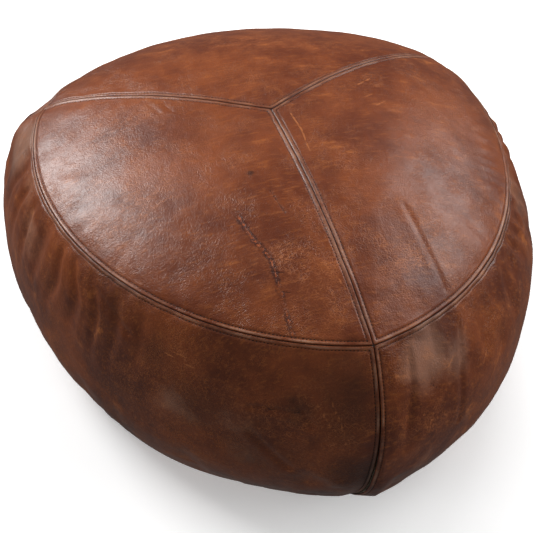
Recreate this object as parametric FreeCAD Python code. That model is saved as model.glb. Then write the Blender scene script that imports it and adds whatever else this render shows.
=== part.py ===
import FreeCAD, Part
import math
import os

# Moroccan leather pouf: a stuffed floor cushion with a rounded three-cornered plan.
# Millimetres, +Z up. The origin is on the floor, straight under the point of the top
# where the three radial seams meet. The corners of the plan stand at -90 degrees
# (front), 30 degrees (right) and 150 degrees (left), and a leather panel of the top
# and one of the side lie between each pair of corners.

Vec = FreeCAD.Vector

# ---- driving dimensions -------------------------------------------------------------

HEIGHT = 322.0                # floor to the middle of the top
CROWN_Z = 258.0               # height of the seam between the top and the side
BULGE_Z = 95.0                # height at which the side is widest

# Every level of the plan is three circular arcs, given by the distance of its
# corners and of the middles of its arcs from the axis.
CROWN = (300.0, 267.0)
BULGE = (354.0, 314.0)
FOOT = (288.0, 279.0)
FOOT_TURN = 8.0               # how far the side panels turn in under the foot

DOME_POWER = 2.5              # 2 is a parabola, more is flatter in the middle
UPPER_POWER = 2.4             # shape of the side above its widest level
LOWER_POWER = 2.1             # and below it
SIDE_LEVELS = 20              # levels that a surface of the side is drawn through

LEATHER = 1.6                 # thickness of the cover
PANEL_GAP = 0.12              # between neighbouring leather edges
FOOT_GAP = 0.8                # between the base panels and the turned-in side panels
APEX_RADIUS = 1.2             # the three top panels stop this close to the axis

TAPE_DEPTH = (1.85, 2.25)     # seam tape, measured inwards from the outer face
TAPE_WIDTH = 8.0              # a strip of it lies on each side of a seam
TAPE_OFFSET = 4.7             # middle of a strip to the seam
LINER_DEPTH = (2.5, 3.3)      # cotton inner bag
FILL_DEPTH = 4.2
WADDING_THICKNESS = 34.0      # soft layer over the core, at the middle of the top

THREAD_PROUD = (0.20, 0.70)   # the stitch rows stand this far out of the leather
THREAD_WIDTH = 0.9
ROW_OFFSET = 5.5              # stitch row to seam, on each side of the seam

# ---- zip in the base ----------------------------------------------------------------

ZIP_Y = 60.0                  # the opening lies behind the middle of the base
SLOT_HALF = 9.0               # half of the width of the opening
SLOT_END = 232.0              # the opening ends this far to each side
FACING = (15.0, 1.7, 5.4)     # width, bottom and top of the strips beside the opening
TAPE_INNER = 3.1              # zip tape, from the middle line of the zip
TAPE_OUTER = 21.0
TAPE_Z = (5.6, 6.2)
TEETH_Z = (4.7, 7.1)
TOOTH_PITCH = 4.0
TOOTH_WIDTH = 1.3
TOOTH_REACH = 0.9             # how far a tooth reaches over the middle line
TOOTH_BAR = (1.4, 3.0)
ZIP_START = -204.0            # first tooth, beside the bottom stop
ZIP_END = 212.0               # last tooth, under the closed slider

SLIDER_X = 212.0              # middle of the slider when the zip is closed
SLIDER_LENGTH = 12.0
SLIDER_HALF = (4.9, 3.9)      # half width at its leading end and at its other end
LOWER_WING_Z = (2.9, 4.3)
UPPER_WING_Z = (7.5, 8.9)
RAIL_WIDTH = 0.9
RAIL_HEIGHT = 0.9
BRIDGE_HALF = 1.1             # half width of the arch that holds the pull
BRIDGE_Z = (0.35, 0.95)
PULL_AXIS_Z = 1.9
PULL_WIRE = 0.55              # radius of the round bar of the pull
PULL_THICKNESS = 1.0
PULL_LENGTH = 30.0
PULL_HALF = 3.6
CHANNEL_HALF = 30.0           # the liner rises over the zip within this distance
CHANNEL_Z = 9.6

CORNERS = {"front": -90.0, "right": 30.0, "left": 150.0}
SECTORS = {"right": -90.0, "rear": 30.0, "left": 150.0}


# ---- the outer face of the cover ----------------------------------------------------

def outline_radius(angle, corner, mid):
    """Distance from the axis to the three-arc outline, at a plan angle in degrees."""
    off_mid = (angle + 90.0) % 120.0 - 60.0
    half = math.radians(60.0)
    rise = mid - corner * math.cos(half)
    arc = (rise * rise + (corner * math.sin(half)) ** 2) / (2.0 * rise)
    centre = mid - arc
    turn = math.radians(off_mid)
    return centre * math.cos(turn) + math.sqrt(arc * arc - (centre * math.sin(turn)) ** 2)


def level_radii(z):
    """Corner and mid radii of the side at a height."""
    if z > BULGE_Z:
        share = ((z - BULGE_Z) / (CROWN_Z - BULGE_Z)) ** UPPER_POWER
        end = CROWN
    else:
        share = ((BULGE_Z - z) / BULGE_Z) ** LOWER_POWER
        end = FOOT
    return tuple(b + (e - b) * share for b, e in zip(BULGE, end))


def side_radius(angle, z):
    return outline_radius(angle, *level_radii(z))


def dome_height(share):
    """Height of the top at a share of the way from the axis to the crown seam."""
    return HEIGHT - (HEIGHT - CROWN_Z) * share ** DOME_POWER


def side_profile(angle, z):
    return Vec(side_radius(angle, z), 0, z)


def dome_profile(angle, share):
    return Vec(share * outline_radius(angle, *CROWN), 0, dome_height(share))


def profile_normal(profile, angle, value, step):
    """Outward normal of a profile within its own upright plane."""
    ahead = profile(angle, value + step)
    behind = profile(angle, max(value - step, 0.0))
    run = ahead - behind
    normal = Vec(run.z, 0, -run.x) if profile is side_profile else Vec(-run.z, 0, run.x)
    return normal.normalize()


def side_normal(angle, z):
    return profile_normal(side_profile, angle, min(z, CROWN_Z - 0.5), 0.5)


def dome_normal(angle, share):
    return profile_normal(dome_profile, angle, min(share, 0.998), 0.002)


def mitre(first, second):
    """Normal shared by two faces at their edge, long enough to keep their thickness."""
    middle = (first + second).normalize()
    return middle * (1.0 / middle.dot(first))


def crown_normal(angle):
    return mitre(dome_normal(angle, 1.0), side_normal(angle, CROWN_Z))


def foot_normal(angle):
    return mitre(side_normal(angle, 0.5), Vec(0, 0, -1))


def turned(point, angle):
    """A point of the upright plane y = 0, turned to a plan angle."""
    a = math.radians(angle)
    return Vec(point.x * math.cos(a) - point.y * math.sin(a),
               point.x * math.sin(a) + point.y * math.cos(a), point.z)


# ---- shapes -------------------------------------------------------------------------

def spline(points):
    curve = Part.BSplineCurve()
    curve.interpolate(points)
    return curve.toShape()


def line(a, b):
    return Part.makeLine(a, b)


def steps(first, last, count):
    return [first + (last - first) * i / count for i in range(count + 1)]


def loft(wires):
    solid = Part.makeLoft(wires, True, False)
    if solid.Volume < 0:
        solid.reverse()
    return solid


def profile_wire(outer, normals, depth, angle, turn_in=0.0):
    """Closed section of a skin: its outer profile, and the same moved in by depth."""
    near = [turned(p - n * depth[0], angle) for p, n in zip(outer, normals)]
    far = [turned(p - n * depth[1], angle) for p, n in zip(outer, normals)]
    edges = [spline(near), line(near[-1], far[-1]), spline(far[::-1])]
    if turn_in:
        inward = turned(Vec(-turn_in, 0, 0), angle)
        edges += [line(far[0], far[0] + inward)]
        edges += [line(far[0] + inward, near[0] + inward)]
        edges += [line(near[0] + inward, near[0])]
    else:
        edges += [line(far[0], near[0])]
    return Part.Wire(edges)


def sector_angles(start, count=8):
    edge = math.degrees(0.5 * PANEL_GAP / CROWN[0])
    return steps(start + edge, start + 120.0 - edge, count)


def top_skin(start, depth):
    """One third of the top, as a skin between two depths."""
    wires = []
    for angle in sector_angles(start):
        first = APEX_RADIUS / outline_radius(angle, *CROWN)
        shares = [first + (1.0 - first) * k for k in steps(0.0, 1.0, 8)]
        outer = [dome_profile(angle, s) for s in shares]
        normals = [dome_normal(angle, s) for s in shares[:-1]] + [crown_normal(angle)]
        wires.append(profile_wire(outer, normals, depth, angle))
    return loft(wires)


def side_skin(start, depth, turn_in=0.0):
    """One third of the side, as a skin between two depths."""
    wires = []
    for angle in sector_angles(start):
        heights = steps(0.0, CROWN_Z - PANEL_GAP, SIDE_LEVELS)
        outer = [side_profile(angle, z) for z in heights]
        inner = [side_normal(angle, z) for z in heights[1:-1]]
        normals = [foot_normal(angle)] + inner + [crown_normal(angle)]
        wires.append(profile_wire(outer, normals, depth, angle, turn_in))
    return loft(wires)


def outline_wire(radii, z):
    arcs = []
    for start in SECTORS.values():
        points = []
        for angle, radius in ((start, radii[0]), (start + 60, radii[1]), (start + 120, radii[0])):
            points.append(turned(Vec(radius, 0, z), angle))
        arcs.append(Part.Arc(*points).toShape())
    return Part.Wire(arcs)


def prism(radii, low, high):
    face = Part.Face(outline_wire(radii, low))
    return face.extrude(Vec(0, 0, high - low))


def shrunk(radii, inset):
    return (radii[0] - inset, radii[1] - inset)


def box(x, y, z):
    return Part.makeBox(x[1] - x[0], y[1] - y[0], z[1] - z[0], Vec(x[0], y[0], z[0]))


def ribbon(frames, width, layer):
    """A thin strip that follows points with their outward normals and cross directions."""
    wires = []
    for point, normal, across in frames:
        half = across * (0.5 * width)
        low = normal * layer[0]
        high = normal * layer[1]
        corners = [point - half + low, point + half + low, point + half + high, point - half + high]
        wires.append(Part.makePolygon(corners + corners[:1]))
    return loft(wires)


def framed(surface, angle, value, along):
    """A point of the cover, its normal, and the direction across a strip there.

    The strip runs round the pouf if along is "round", and up its profile otherwise.
    """
    nudge = 0.2
    point = surface(angle, value)
    beside = surface(angle + nudge, value) - surface(angle - nudge, value)
    rise = 0.5 if surface is side_point else 0.002
    upward = surface(angle, value + rise) - surface(angle, value - rise)
    beside.normalize()
    upward.normalize()
    normal = beside.cross(upward) if surface is side_point else upward.cross(beside)
    normal.normalize()
    along_strip = beside if along == "round" else upward
    return point, normal, normal.cross(along_strip).normalize()


def side_point(angle, z):
    return turned(side_profile(angle, z), angle)


def dome_point(angle, share):
    return turned(dome_profile(angle, share), angle)


def beside_seam(radius, offset):
    """Plan angle at which a point lies a given distance beside a radial line."""
    return math.degrees(math.asin(offset / radius))


def top_seam_strip(corner, offset, width, layer, first, last):
    frames = []
    for radius in steps(first, last, 10):
        angle = CORNERS[corner] + beside_seam(radius, offset)
        share = radius / outline_radius(angle, *CROWN)
        frames.append(framed(dome_point, angle, share, "up"))
    return ribbon(frames, width, layer)


def side_seam_strip(corner, offset, width, layer, first, last):
    frames = []
    for z in steps(first, last, SIDE_LEVELS):
        angle = CORNERS[corner] + beside_seam(level_radii(z)[0], offset)
        frames.append(framed(side_point, angle, z, "up"))
    return ribbon(frames, width, layer)


def seam_pair(strip, corner, offset, width, layer, last):
    """The same strip on both sides of a seam."""
    first = 20.0
    sides = [strip(corner, side * offset, width, layer, first, last) for side in (-1, 1)]
    return Part.makeCompound(sides)


def ring_strip(surface, value, end_gap, width, layer):
    """Three strips round the pouf, one to each side of the plan."""
    strips = []
    for start in SECTORS.values():
        frames = []
        for angle in steps(start + end_gap, start + 120.0 - end_gap, 14):
            frames.append(framed(surface, angle, value, "round"))
        strips.append(ribbon(frames, width, layer))
    return Part.makeCompound(strips)


# ---- leather cover ------------------------------------------------------------------

def leather_cover():
    nodes = {}
    for name, start in SECTORS.items():
        nodes["top_panel_" + name] = top_skin(start, (0.0, LEATHER))
        nodes["side_panel_" + name] = side_skin(start, (0.0, LEATHER), FOOT_TURN)
    floor_radii = shrunk(FOOT, FOOT_TURN + FOOT_GAP)
    far = BULGE[0]
    front_edge = ZIP_Y - SLOT_HALF
    rear_edge = ZIP_Y + SLOT_HALF
    disc = prism(floor_radii, 0.0, LEATHER)
    nodes["base_panel_front"] = disc.common(box((-far, far), (-far, front_edge), (0, LEATHER)))
    nodes["base_panel_rear"] = disc.common(box((-far, far), (rear_edge, far), (0, LEATHER)))
    tab_y = (front_edge + PANEL_GAP, rear_edge - PANEL_GAP)
    nodes["zip_end_tab_left"] = disc.common(box((-far, -SLOT_END), tab_y, (0, LEATHER)))
    nodes["zip_end_tab_right"] = disc.common(box((SLOT_END, far), tab_y, (0, LEATHER)))
    return nodes


def seam_tapes():
    """Cotton tapes sewn behind the leather, so that the seams hold the stuffing."""
    nodes = {}
    layer = (-TAPE_DEPTH[1], -TAPE_DEPTH[0])
    for corner in CORNERS:
        nodes["top_seam_tape_" + corner] = seam_pair(
            top_seam_strip, corner, TAPE_OFFSET, TAPE_WIDTH, layer, CROWN[0] - 6.0)
        nodes["side_seam_tape_" + corner] = seam_pair(
            side_seam_strip, corner, TAPE_OFFSET, TAPE_WIDTH, layer, CROWN_Z - 20.0)
    nodes["crown_seam_tape"] = ring_strip(
        side_point, CROWN_Z - TAPE_WIDTH, 0.4, TAPE_WIDTH, layer)
    return nodes


def seam_threads():
    """Rows of topstitching, two along every seam of the top and of the side."""
    nodes = {}
    clear = ROW_OFFSET + 2.0
    for corner in CORNERS:
        nodes["top_seam_thread_" + corner] = seam_pair(
            top_seam_strip, corner, ROW_OFFSET, THREAD_WIDTH, THREAD_PROUD, CROWN[0] - clear)
        nodes["side_seam_thread_" + corner] = seam_pair(
            side_seam_strip, corner, ROW_OFFSET, THREAD_WIDTH, THREAD_PROUD, CROWN_Z - clear)
    upper = 1.0 - ROW_OFFSET / CROWN[1]
    corner_gap = 1.4
    nodes["crown_thread_upper"] = ring_strip(
        dome_point, upper, corner_gap, THREAD_WIDTH, THREAD_PROUD)
    nodes["crown_thread_lower"] = ring_strip(
        side_point, CROWN_Z - ROW_OFFSET, corner_gap, THREAD_WIDTH, THREAD_PROUD)
    return nodes


# ---- zip ----------------------------------------------------------------------------

def mirrored(shape):
    """The same shape on the rear side of the zip's middle line."""
    return shape.mirror(Vec(0, ZIP_Y, 0), Vec(0, 1, 0))


def teeth_row(shift):
    """Front row of teeth with the bar that joins them, as one comb."""
    bar_near = ZIP_Y - TOOTH_BAR[0]
    bar_far = ZIP_Y - TOOTH_BAR[1]
    tip = ZIP_Y + TOOTH_REACH
    points = [Vec(ZIP_START, bar_far, TEETH_Z[0]), Vec(ZIP_START, bar_near, TEETH_Z[0])]
    x = ZIP_START + shift
    while x + TOOTH_WIDTH < ZIP_END:
        for px, py in ((x, bar_near), (x, tip), (x + TOOTH_WIDTH, tip), (x + TOOTH_WIDTH, bar_near)):
            points.append(Vec(px, py, TEETH_Z[0]))
        x += TOOTH_PITCH
    points += [Vec(ZIP_END, bar_near, TEETH_Z[0]), Vec(ZIP_END, bar_far, TEETH_Z[0])]
    face = Part.Face(Part.makePolygon(points + points[:1]))
    return face.extrude(Vec(0, 0, TEETH_Z[1] - TEETH_Z[0]))


def slider_wing(z):
    back, front = SLIDER_X - 0.5 * SLIDER_LENGTH, SLIDER_X + 0.5 * SLIDER_LENGTH
    wide, narrow = SLIDER_HALF
    plan = [(back, -narrow), (SLIDER_X, -wide), (front, -wide),
            (front, wide), (SLIDER_X, wide), (back, narrow)]
    points = [Vec(x, ZIP_Y + y, z[0]) for x, y in plan]
    wing = Part.Face(Part.makePolygon(points + points[:1])).extrude(Vec(0, 0, z[1] - z[0]))
    upright = [e for e in wing.Edges if abs(e.tangentAt(e.FirstParameter).z) > 0.9]
    return wing.makeFillet(0.8, upright)


def slider():
    """Two wings with rails at their edges, a post between them, and the pull's arch."""
    wide = SLIDER_HALF[0]
    rail_x = (SLIDER_X + 0.5, SLIDER_X + 0.5 * SLIDER_LENGTH - 0.9)
    body = slider_wing(LOWER_WING_Z).fuse(slider_wing(UPPER_WING_Z))
    for low, high in ((LOWER_WING_Z[1] - 0.1, LOWER_WING_Z[1] + RAIL_HEIGHT),
                      (UPPER_WING_Z[0] - RAIL_HEIGHT, UPPER_WING_Z[0] + 0.1)):
        for side in (-1, 1):
            edges = sorted((ZIP_Y + side * wide, ZIP_Y + side * (wide - RAIL_WIDTH)))
            body = body.fuse(box(rail_x, edges, (low, high)))
    post_x = SLIDER_X + 3.6
    post = Part.makeCylinder(1.5, UPPER_WING_Z[0] - LOWER_WING_Z[1] + 0.2,
                             Vec(post_x, ZIP_Y, LOWER_WING_Z[1] - 0.1))
    body = body.fuse(post)
    across = (ZIP_Y - BRIDGE_HALF, ZIP_Y + BRIDGE_HALF)
    for leg in ((-4.4, -2.6), (2.6, 4.4)):
        leg_x = (SLIDER_X + leg[0], SLIDER_X + leg[1])
        body = body.fuse(box(leg_x, across, (BRIDGE_Z[0], LOWER_WING_Z[0] + 0.1)))
    bar = box((SLIDER_X - 4.4, SLIDER_X + 4.4), across, BRIDGE_Z)
    return body.fuse(bar).removeSplitter()


def pull():
    """A flat tab with an eye, whose round bar turns inside the slider's arch."""
    z = (PULL_AXIS_Z - 0.5 * PULL_THICKNESS, PULL_AXIS_Z + 0.5 * PULL_THICKNESS)
    tab = box((SLIDER_X - PULL_LENGTH, SLIDER_X - 6.2), (ZIP_Y - PULL_HALF, ZIP_Y + PULL_HALF), z)
    upright = [e for e in tab.Edges if abs(e.tangentAt(e.FirstParameter).z) > 0.9]
    tab = tab.makeFillet(2.4, upright)
    hole = Part.makeCylinder(1.7, 4.0, Vec(SLIDER_X - PULL_LENGTH + 4.6, ZIP_Y, 0))
    tab = tab.cut(hole)
    arm_out = BRIDGE_HALF + 2.1
    arm_in = BRIDGE_HALF + 0.7
    for side in (-1, 1):
        arm_y = sorted((ZIP_Y + side * arm_in, ZIP_Y + side * arm_out))
        tab = tab.fuse(box((SLIDER_X - 7.0, SLIDER_X), arm_y, z))
    bar = Part.makeCylinder(PULL_WIRE, 2.0 * arm_out,
                            Vec(SLIDER_X, ZIP_Y - arm_out, PULL_AXIS_Z), Vec(0, 1, 0))
    return tab.fuse(bar).removeSplitter()


def zip_nodes():
    nodes = {}
    facing_width, facing_low, facing_high = FACING
    facing = box((-SLOT_END - 8, SLOT_END + 8),
                 (ZIP_Y - SLOT_HALF - facing_width, ZIP_Y - SLOT_HALF), (facing_low, facing_high))
    nodes["zip_facing_front"] = facing
    nodes["zip_facing_rear"] = mirrored(facing)
    tape = box((-SLOT_END, SLOT_END), (ZIP_Y - TAPE_OUTER, ZIP_Y - TAPE_INNER), TAPE_Z)
    nodes["zip_tape_front"] = tape
    nodes["zip_tape_rear"] = mirrored(tape)
    nodes["zip_teeth_front"] = teeth_row(0.3)
    nodes["zip_teeth_rear"] = mirrored(teeth_row(0.3 + 0.5 * TOOTH_PITCH))
    nodes["zip_slider"] = slider()
    nodes["zip_pull"] = pull()
    stop_x = SLIDER_X + 0.5 * SLIDER_LENGTH + 0.4
    stop_y = (ZIP_Y - TOOTH_BAR[1], ZIP_Y - 0.6)
    stop = box((stop_x, stop_x + 3.0), stop_y, TEETH_Z)
    nodes["zip_top_stops"] = Part.makeCompound([stop, mirrored(stop)])
    end = ZIP_START - 0.3
    nodes["zip_bottom_stop"] = box(
        (end - 4.0, end), (ZIP_Y - TOOTH_BAR[1], ZIP_Y + TOOTH_BAR[1]), TEETH_Z)
    return nodes


# ---- inner bag and filling ----------------------------------------------------------

def channel(extra):
    """Space over the zip that the inner bag and the filling leave free."""
    far = BULGE[0]
    return box((-far, far), (ZIP_Y - CHANNEL_HALF - extra, ZIP_Y + CHANNEL_HALF + extra),
               (0.0, CHANNEL_Z + extra))


def liner():
    nodes = {}
    tops = [top_skin(start, LINER_DEPTH) for start in SECTORS.values()]
    bands = [side_skin(start, LINER_DEPTH) for start in SECTORS.values()]
    nodes["liner_top"] = Part.makeCompound(tops)
    nodes["liner_band"] = Part.makeCompound(bands)
    thickness = LINER_DEPTH[1] - LINER_DEPTH[0]
    radii = shrunk(FOOT, 5.0)
    block = prism(radii, LINER_DEPTH[0], CHANNEL_Z + thickness)
    upper = prism(radii, LINER_DEPTH[1], CHANNEL_Z + thickness)
    nodes["liner_base"] = block.cut(upper.cut(channel(thickness))).cut(channel(0.0))
    return nodes


def inner_radii(z, depth):
    """Corner and mid radii of the side at a height, moved in by a depth of material."""
    leans = (side_normal(CORNERS["front"], z).x, side_normal(-30.0, z).x)
    return tuple(r - depth / lean for r, lean in zip(level_radii(z), leans))


def stuffed_body(depth):
    """The whole body of the pouf, moved in by a depth, as one solid."""
    shoulder = CROWN_Z - depth
    heights = steps(depth, shoulder, SIDE_LEVELS)
    side_wires = [outline_wire(inner_radii(z, depth), z) for z in heights]
    crown = inner_radii(shoulder, depth)
    top_wires = [side_wires[-1]]
    for share in (0.93, 0.83, 0.7, 0.55, 0.4, 0.25, 0.12, 0.04):
        radii = tuple(share * r for r in crown)
        top_wires.append(outline_wire(radii, dome_height(share) - depth))
    return loft(side_wires).fuse(loft(top_wires))


def filling():
    """Firm core with a soft wadding over it, parted by a level face."""
    body = stuffed_body(FILL_DEPTH).cut(channel(LINER_DEPTH[1] - LINER_DEPTH[0] + 0.1))
    far = BULGE[0]
    parting = HEIGHT - FILL_DEPTH - WADDING_THICKNESS
    nodes = {}
    nodes["core_filling"] = body.common(box((-far, far), (-far, far), (0, parting - 0.15)))
    nodes["top_wadding"] = body.common(box((-far, far), (-far, far), (parting + 0.15, HEIGHT)))
    return nodes


# ---- output -------------------------------------------------------------------------

def main():
    os.makedirs("parts", exist_ok=True)
    nodes = {}
    for group in (leather_cover, seam_tapes, seam_threads, zip_nodes, liner, filling):
        nodes.update(group())
    for name, shape in sorted(nodes.items()):
        solids = shape.Solids
        sound = all(s.isValid() and s.Volume > 0 for s in solids)
        print(name, len(solids), "solid(s)", round(shape.Volume), "mm3", "sound" if sound else "NOT SOUND")
        output = solids[0] if len(solids) == 1 else Part.makeCompound(solids)
        output.exportStep("parts/" + name + ".step")


main()
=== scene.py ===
import itertools
import math
from functools import lru_cache

import bmesh
import bpy
import numpy as np
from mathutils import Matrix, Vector


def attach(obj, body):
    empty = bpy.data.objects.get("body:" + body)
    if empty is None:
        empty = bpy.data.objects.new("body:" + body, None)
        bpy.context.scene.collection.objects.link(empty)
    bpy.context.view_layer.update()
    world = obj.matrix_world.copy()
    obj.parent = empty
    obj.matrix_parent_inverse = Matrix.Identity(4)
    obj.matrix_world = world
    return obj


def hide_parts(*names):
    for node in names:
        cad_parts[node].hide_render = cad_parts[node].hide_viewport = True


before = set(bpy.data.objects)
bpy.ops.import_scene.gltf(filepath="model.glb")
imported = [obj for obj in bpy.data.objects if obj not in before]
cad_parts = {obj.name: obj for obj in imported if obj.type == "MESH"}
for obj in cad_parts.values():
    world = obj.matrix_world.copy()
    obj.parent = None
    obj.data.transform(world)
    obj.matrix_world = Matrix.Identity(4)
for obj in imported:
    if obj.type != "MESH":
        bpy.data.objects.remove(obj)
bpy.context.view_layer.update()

bl_info = {
    "name": "Moroccan Leather Pouf",
    "version": (1, 0, 0),
    "blender": (4, 5, 0),
    "location": "3D Viewport > Sidebar > Pouf",
    "description": "Sews a three-panel leather floor pouf with its inner bag, filling and base zip",
    "category": "Add Mesh",
}

MM = 0.001

# ---- the stuffed form ---------------------------------------------------------------
# Outlines are three arcs. Each is given by its reach at the front, right and left corner
# and at the middle of the right, rear and left panel, as shares of the crown's reach. The
# shares, heights and powers come from a fit in a separate script, rounded afterwards.

UNIT = 0.300
PANEL_START = {"right": -90.0, "rear": 30.0, "left": 150.0}
PANEL_AFTER = {"front": "right", "right": "rear", "left": "left"}
PANEL_BEFORE = {"front": "left", "right": "right", "left": "rear"}
CROWN = ((1.0, 1.0, 1.0), (0.87, 0.875, 0.92))
BULGE = ((1.185, 1.10, 1.235), (1.01, 1.115, 1.01))
FOOT = ((0.957, 0.957, 0.957), (0.927, 0.927, 0.927))
CROWN_LIFT = ((0.0, -0.07, 0.055), (-0.05, 0.005, 0.03))
CROWN_HEIGHT = 0.86
TOP_HEIGHT = 1.08
BULGE_HEIGHT = 0.315
DOME_POWER = 2.5
UPPER_POWER = 2.4
LOWER_POWER = 2.0
APEX_SHIFT = (-16.0 * MM, 5.0 * MM)
FRONT_SEAM_DRIFT = (-1.2, -4.0)
FOOT_FOLD = 2.5 * MM
FOOT_TURN = 8.0 * MM

# ---- the sewing ---------------------------------------------------------------------

NEAR_SEAM = MM * np.array([0.0, 0.45, 0.9, 1.4, 1.9, 2.5, 3.2, 3.9, 4.4, 4.8, 5.2, 5.6, 6.1, 6.9,
                           7.9, 9.2, 11.2, 14.0, 18.0])
WEAVE_STEP = 3.1 * MM
SPINE_POINTS = 900
ROW_OFFSET = 5.2 * MM
CORNER_SOFTNESS = 0.9 * MM


def circle_through(points):
    """Centre and radius of the circle through three points."""
    (ax, ay), (bx, by), (cx, cy) = points
    a = np.array([[bx - ax, by - ay], [cx - ax, cy - ay]])
    b = 0.5 * np.array([bx * bx - ax * ax + by * by - ay * ay, cx * cx - ax * ax + cy * cy - ay * ay])
    centre = np.linalg.solve(a, b)
    return centre, math.hypot(ax - centre[0], ay - centre[1])


def three_arcs(angle, outline):
    """Reach of a three-arc outline from the axis, in each direction."""
    corners, middles = outline
    turn = np.mod(np.asarray(angle, float) + 90.0, 360.0)
    reach = np.zeros_like(turn)
    for k in range(3):
        ends = ((0.0, corners[k]), (60.0, middles[k]), (120.0, corners[(k + 1) % 3]))
        points = []
        for share, radius in ends:
            bearing = math.radians(120.0 * k + share)
            points.append((radius * math.cos(bearing), radius * math.sin(bearing)))
        centre, rho = circle_through(points)
        part = (turn >= 120.0 * k) & (turn < 120.0 * (k + 1))
        bearing = np.radians(turn[part])
        along = centre[0] * np.cos(bearing) + centre[1] * np.sin(bearing)
        spare = centre[0] ** 2 + centre[1] ** 2 - rho ** 2
        reach[part] = along + np.sqrt(along ** 2 - spare)
    return reach


def crown_height(angle):
    """Height of the crown seam, which rises to the left and drops to the right."""
    turn = np.mod(np.asarray(angle, float) + 90.0, 360.0) / 120.0
    k = np.minimum(turn.astype(int), 2)
    u = turn - k
    corners = np.array(CROWN_LIFT[0])
    middles = np.array(CROWN_LIFT[1])
    lift = corners[k] * (1 - u) + corners[(k + 1) % 3] * u + 4 * u * (1 - u) * middles[k]
    return CROWN_HEIGHT + lift


def top_surface(angle, share):
    """Point on the domed top: share is 0 at its middle and 1 at the crown seam."""
    bearing = np.radians(angle)
    reach = UNIT * three_arcs(angle, CROWN) * share
    z = TOP_HEIGHT - (TOP_HEIGHT - crown_height(angle)) * np.abs(share) ** DOME_POWER
    x = reach * np.cos(bearing) + (1 - share) * APEX_SHIFT[0]
    y = reach * np.sin(bearing) + (1 - share) * APEX_SHIFT[1]
    return np.stack([x, y, UNIT * z], -1)


def side_surface(angle, drop):
    """Point on the side: drop is 0 at the crown seam and 1 at the floor."""
    bearing = np.radians(angle)
    high = crown_height(angle)
    z = high * (1 - drop)
    crown = three_arcs(angle, CROWN)
    bulge = three_arcs(angle, BULGE)
    foot = three_arcs(angle, FOOT)
    above = np.maximum(z - BULGE_HEIGHT, 0) / (high - BULGE_HEIGHT)
    below = np.maximum(BULGE_HEIGHT - z, 0) / BULGE_HEIGHT
    reach = bulge - (bulge - crown) * above ** UPPER_POWER - (bulge - foot) * below ** LOWER_POWER
    return UNIT * np.stack([reach * np.cos(bearing), reach * np.sin(bearing), z], -1)


SURFACES = {"top": top_surface, "side": side_surface}


def unit(vectors):
    """Vectors made one long."""
    return vectors / np.maximum(np.linalg.norm(vectors, axis=-1, keepdims=True), 1e-12)


def outward(kind, angle, share):
    """Direction straight out of the form, evened out where two panels meet."""
    surface = SURFACES[kind]
    step = 0.35
    low = np.maximum(share - 0.004, 0.0 if kind == "side" else -1.0)
    high = np.minimum(share + 0.004, 1.0)
    across = surface(angle + step, share) - surface(angle - step, share)
    down = surface(angle, high) - surface(angle, low)
    normal = unit(np.cross(down, across))
    if kind == "top":
        middle = np.clip(share / 0.02, 0, 1)[..., None]
        normal = unit(normal * middle + np.array([0, 0, 1.0]) * (1 - middle))
    return normal


def crown_outward(angle):
    """Direction out of the crown seam, halfway between the top and the side."""
    edge = np.ones_like(angle)
    return unit(outward("top", angle, edge) + outward("side", angle, 0 * edge))


def walked(points):
    """Length walked along rows of points."""
    steps = np.linalg.norm(np.diff(points, axis=-2), axis=-1)
    start = np.zeros(steps.shape[:-1] + (1,))
    return np.concatenate([start, np.cumsum(steps, -1)], -1)


def stations(length, count):
    """Places along a length, close together beside the seam at each of its ends."""
    near = NEAR_SEAM * min(1.0, 0.42 * length / NEAR_SEAM[-1])
    middle = np.linspace(near[-1], length - near[-1], count + 2)[1:-1]
    return np.concatenate([near, middle, length - near[::-1]])


def soft_noise(place, size, seed):
    """Smooth values from -1 to 1 that change over about one size."""
    cells = np.asarray(place) / size + 517.0
    base = np.floor(cells).astype(np.int64)
    part = cells - base
    part = part * part * (3 - 2 * part)
    total = 0.0
    for corner in itertools.product((0, 1), repeat=3):
        key = base + np.array(corner)
        mixed = (key[..., 0] * 73856093) ^ (key[..., 1] * 19349663) ^ (key[..., 2] * 83492791)
        mixed = (mixed + seed * 2654435761) & 0xFFFFFFFF
        mixed = ((mixed ^ (mixed >> 15)) * 2246822519) & 0xFFFFFFFF
        mixed = ((mixed ^ (mixed >> 13)) * 3266489917) & 0xFFFFFFFF
        value = (mixed ^ (mixed >> 16)) / 0xFFFFFFFF * 2 - 1
        weight = np.prod(np.where(np.array(corner) == 1, part, 1 - part), axis=-1)
        total = total + value * weight
    return total


def bell(value, middle, width):
    """A smooth hill, 1 in its middle."""
    return np.exp(-((value - middle) / width) ** 2)


def step_up(value, low, high):
    """0 below low, 1 above high, smooth between."""
    t = np.clip((value - low) / (high - low), 0, 1)
    return t * t * (3 - 2 * t)


def laid_out(kind, place, angle):
    """Places of a panel in the flat millimetres that its marks are given in."""
    if kind == "top":
        return place[..., :2] / MM
    return np.stack([AROUND * angle, place[..., 2] / MM], -1)


def reach_to(kind, flat, line):
    """Distance of every flat place to a broken line, in millimetres."""
    scale = np.array([AROUND if kind == "side" else 1.0, 1.0])
    best = np.full(flat.shape[:-1], 40.0)
    for a, b in zip(line[:-1], line[1:]):
        a = np.array(a, float) * scale
        run = np.array(b, float) * scale - a
        t = np.clip(((flat - a) @ run) / float(run @ run), 0, 1)
        best = np.minimum(best, np.linalg.norm(flat - (a + t[..., None] * run), axis=-1))
    return best


def spotted(kind, flat, spots):
    """Strength of the nearest of some round spots."""
    scale = np.array([AROUND if kind == "side" else 1.0, 1.0])
    total = np.zeros(flat.shape[:-1])
    for across, along, wide, strength in spots:
        away = np.linalg.norm(flat - np.array([across, along]) * scale, axis=-1)
        total = np.maximum(total, strength * bell(away, 0, wide))
    return total


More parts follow.
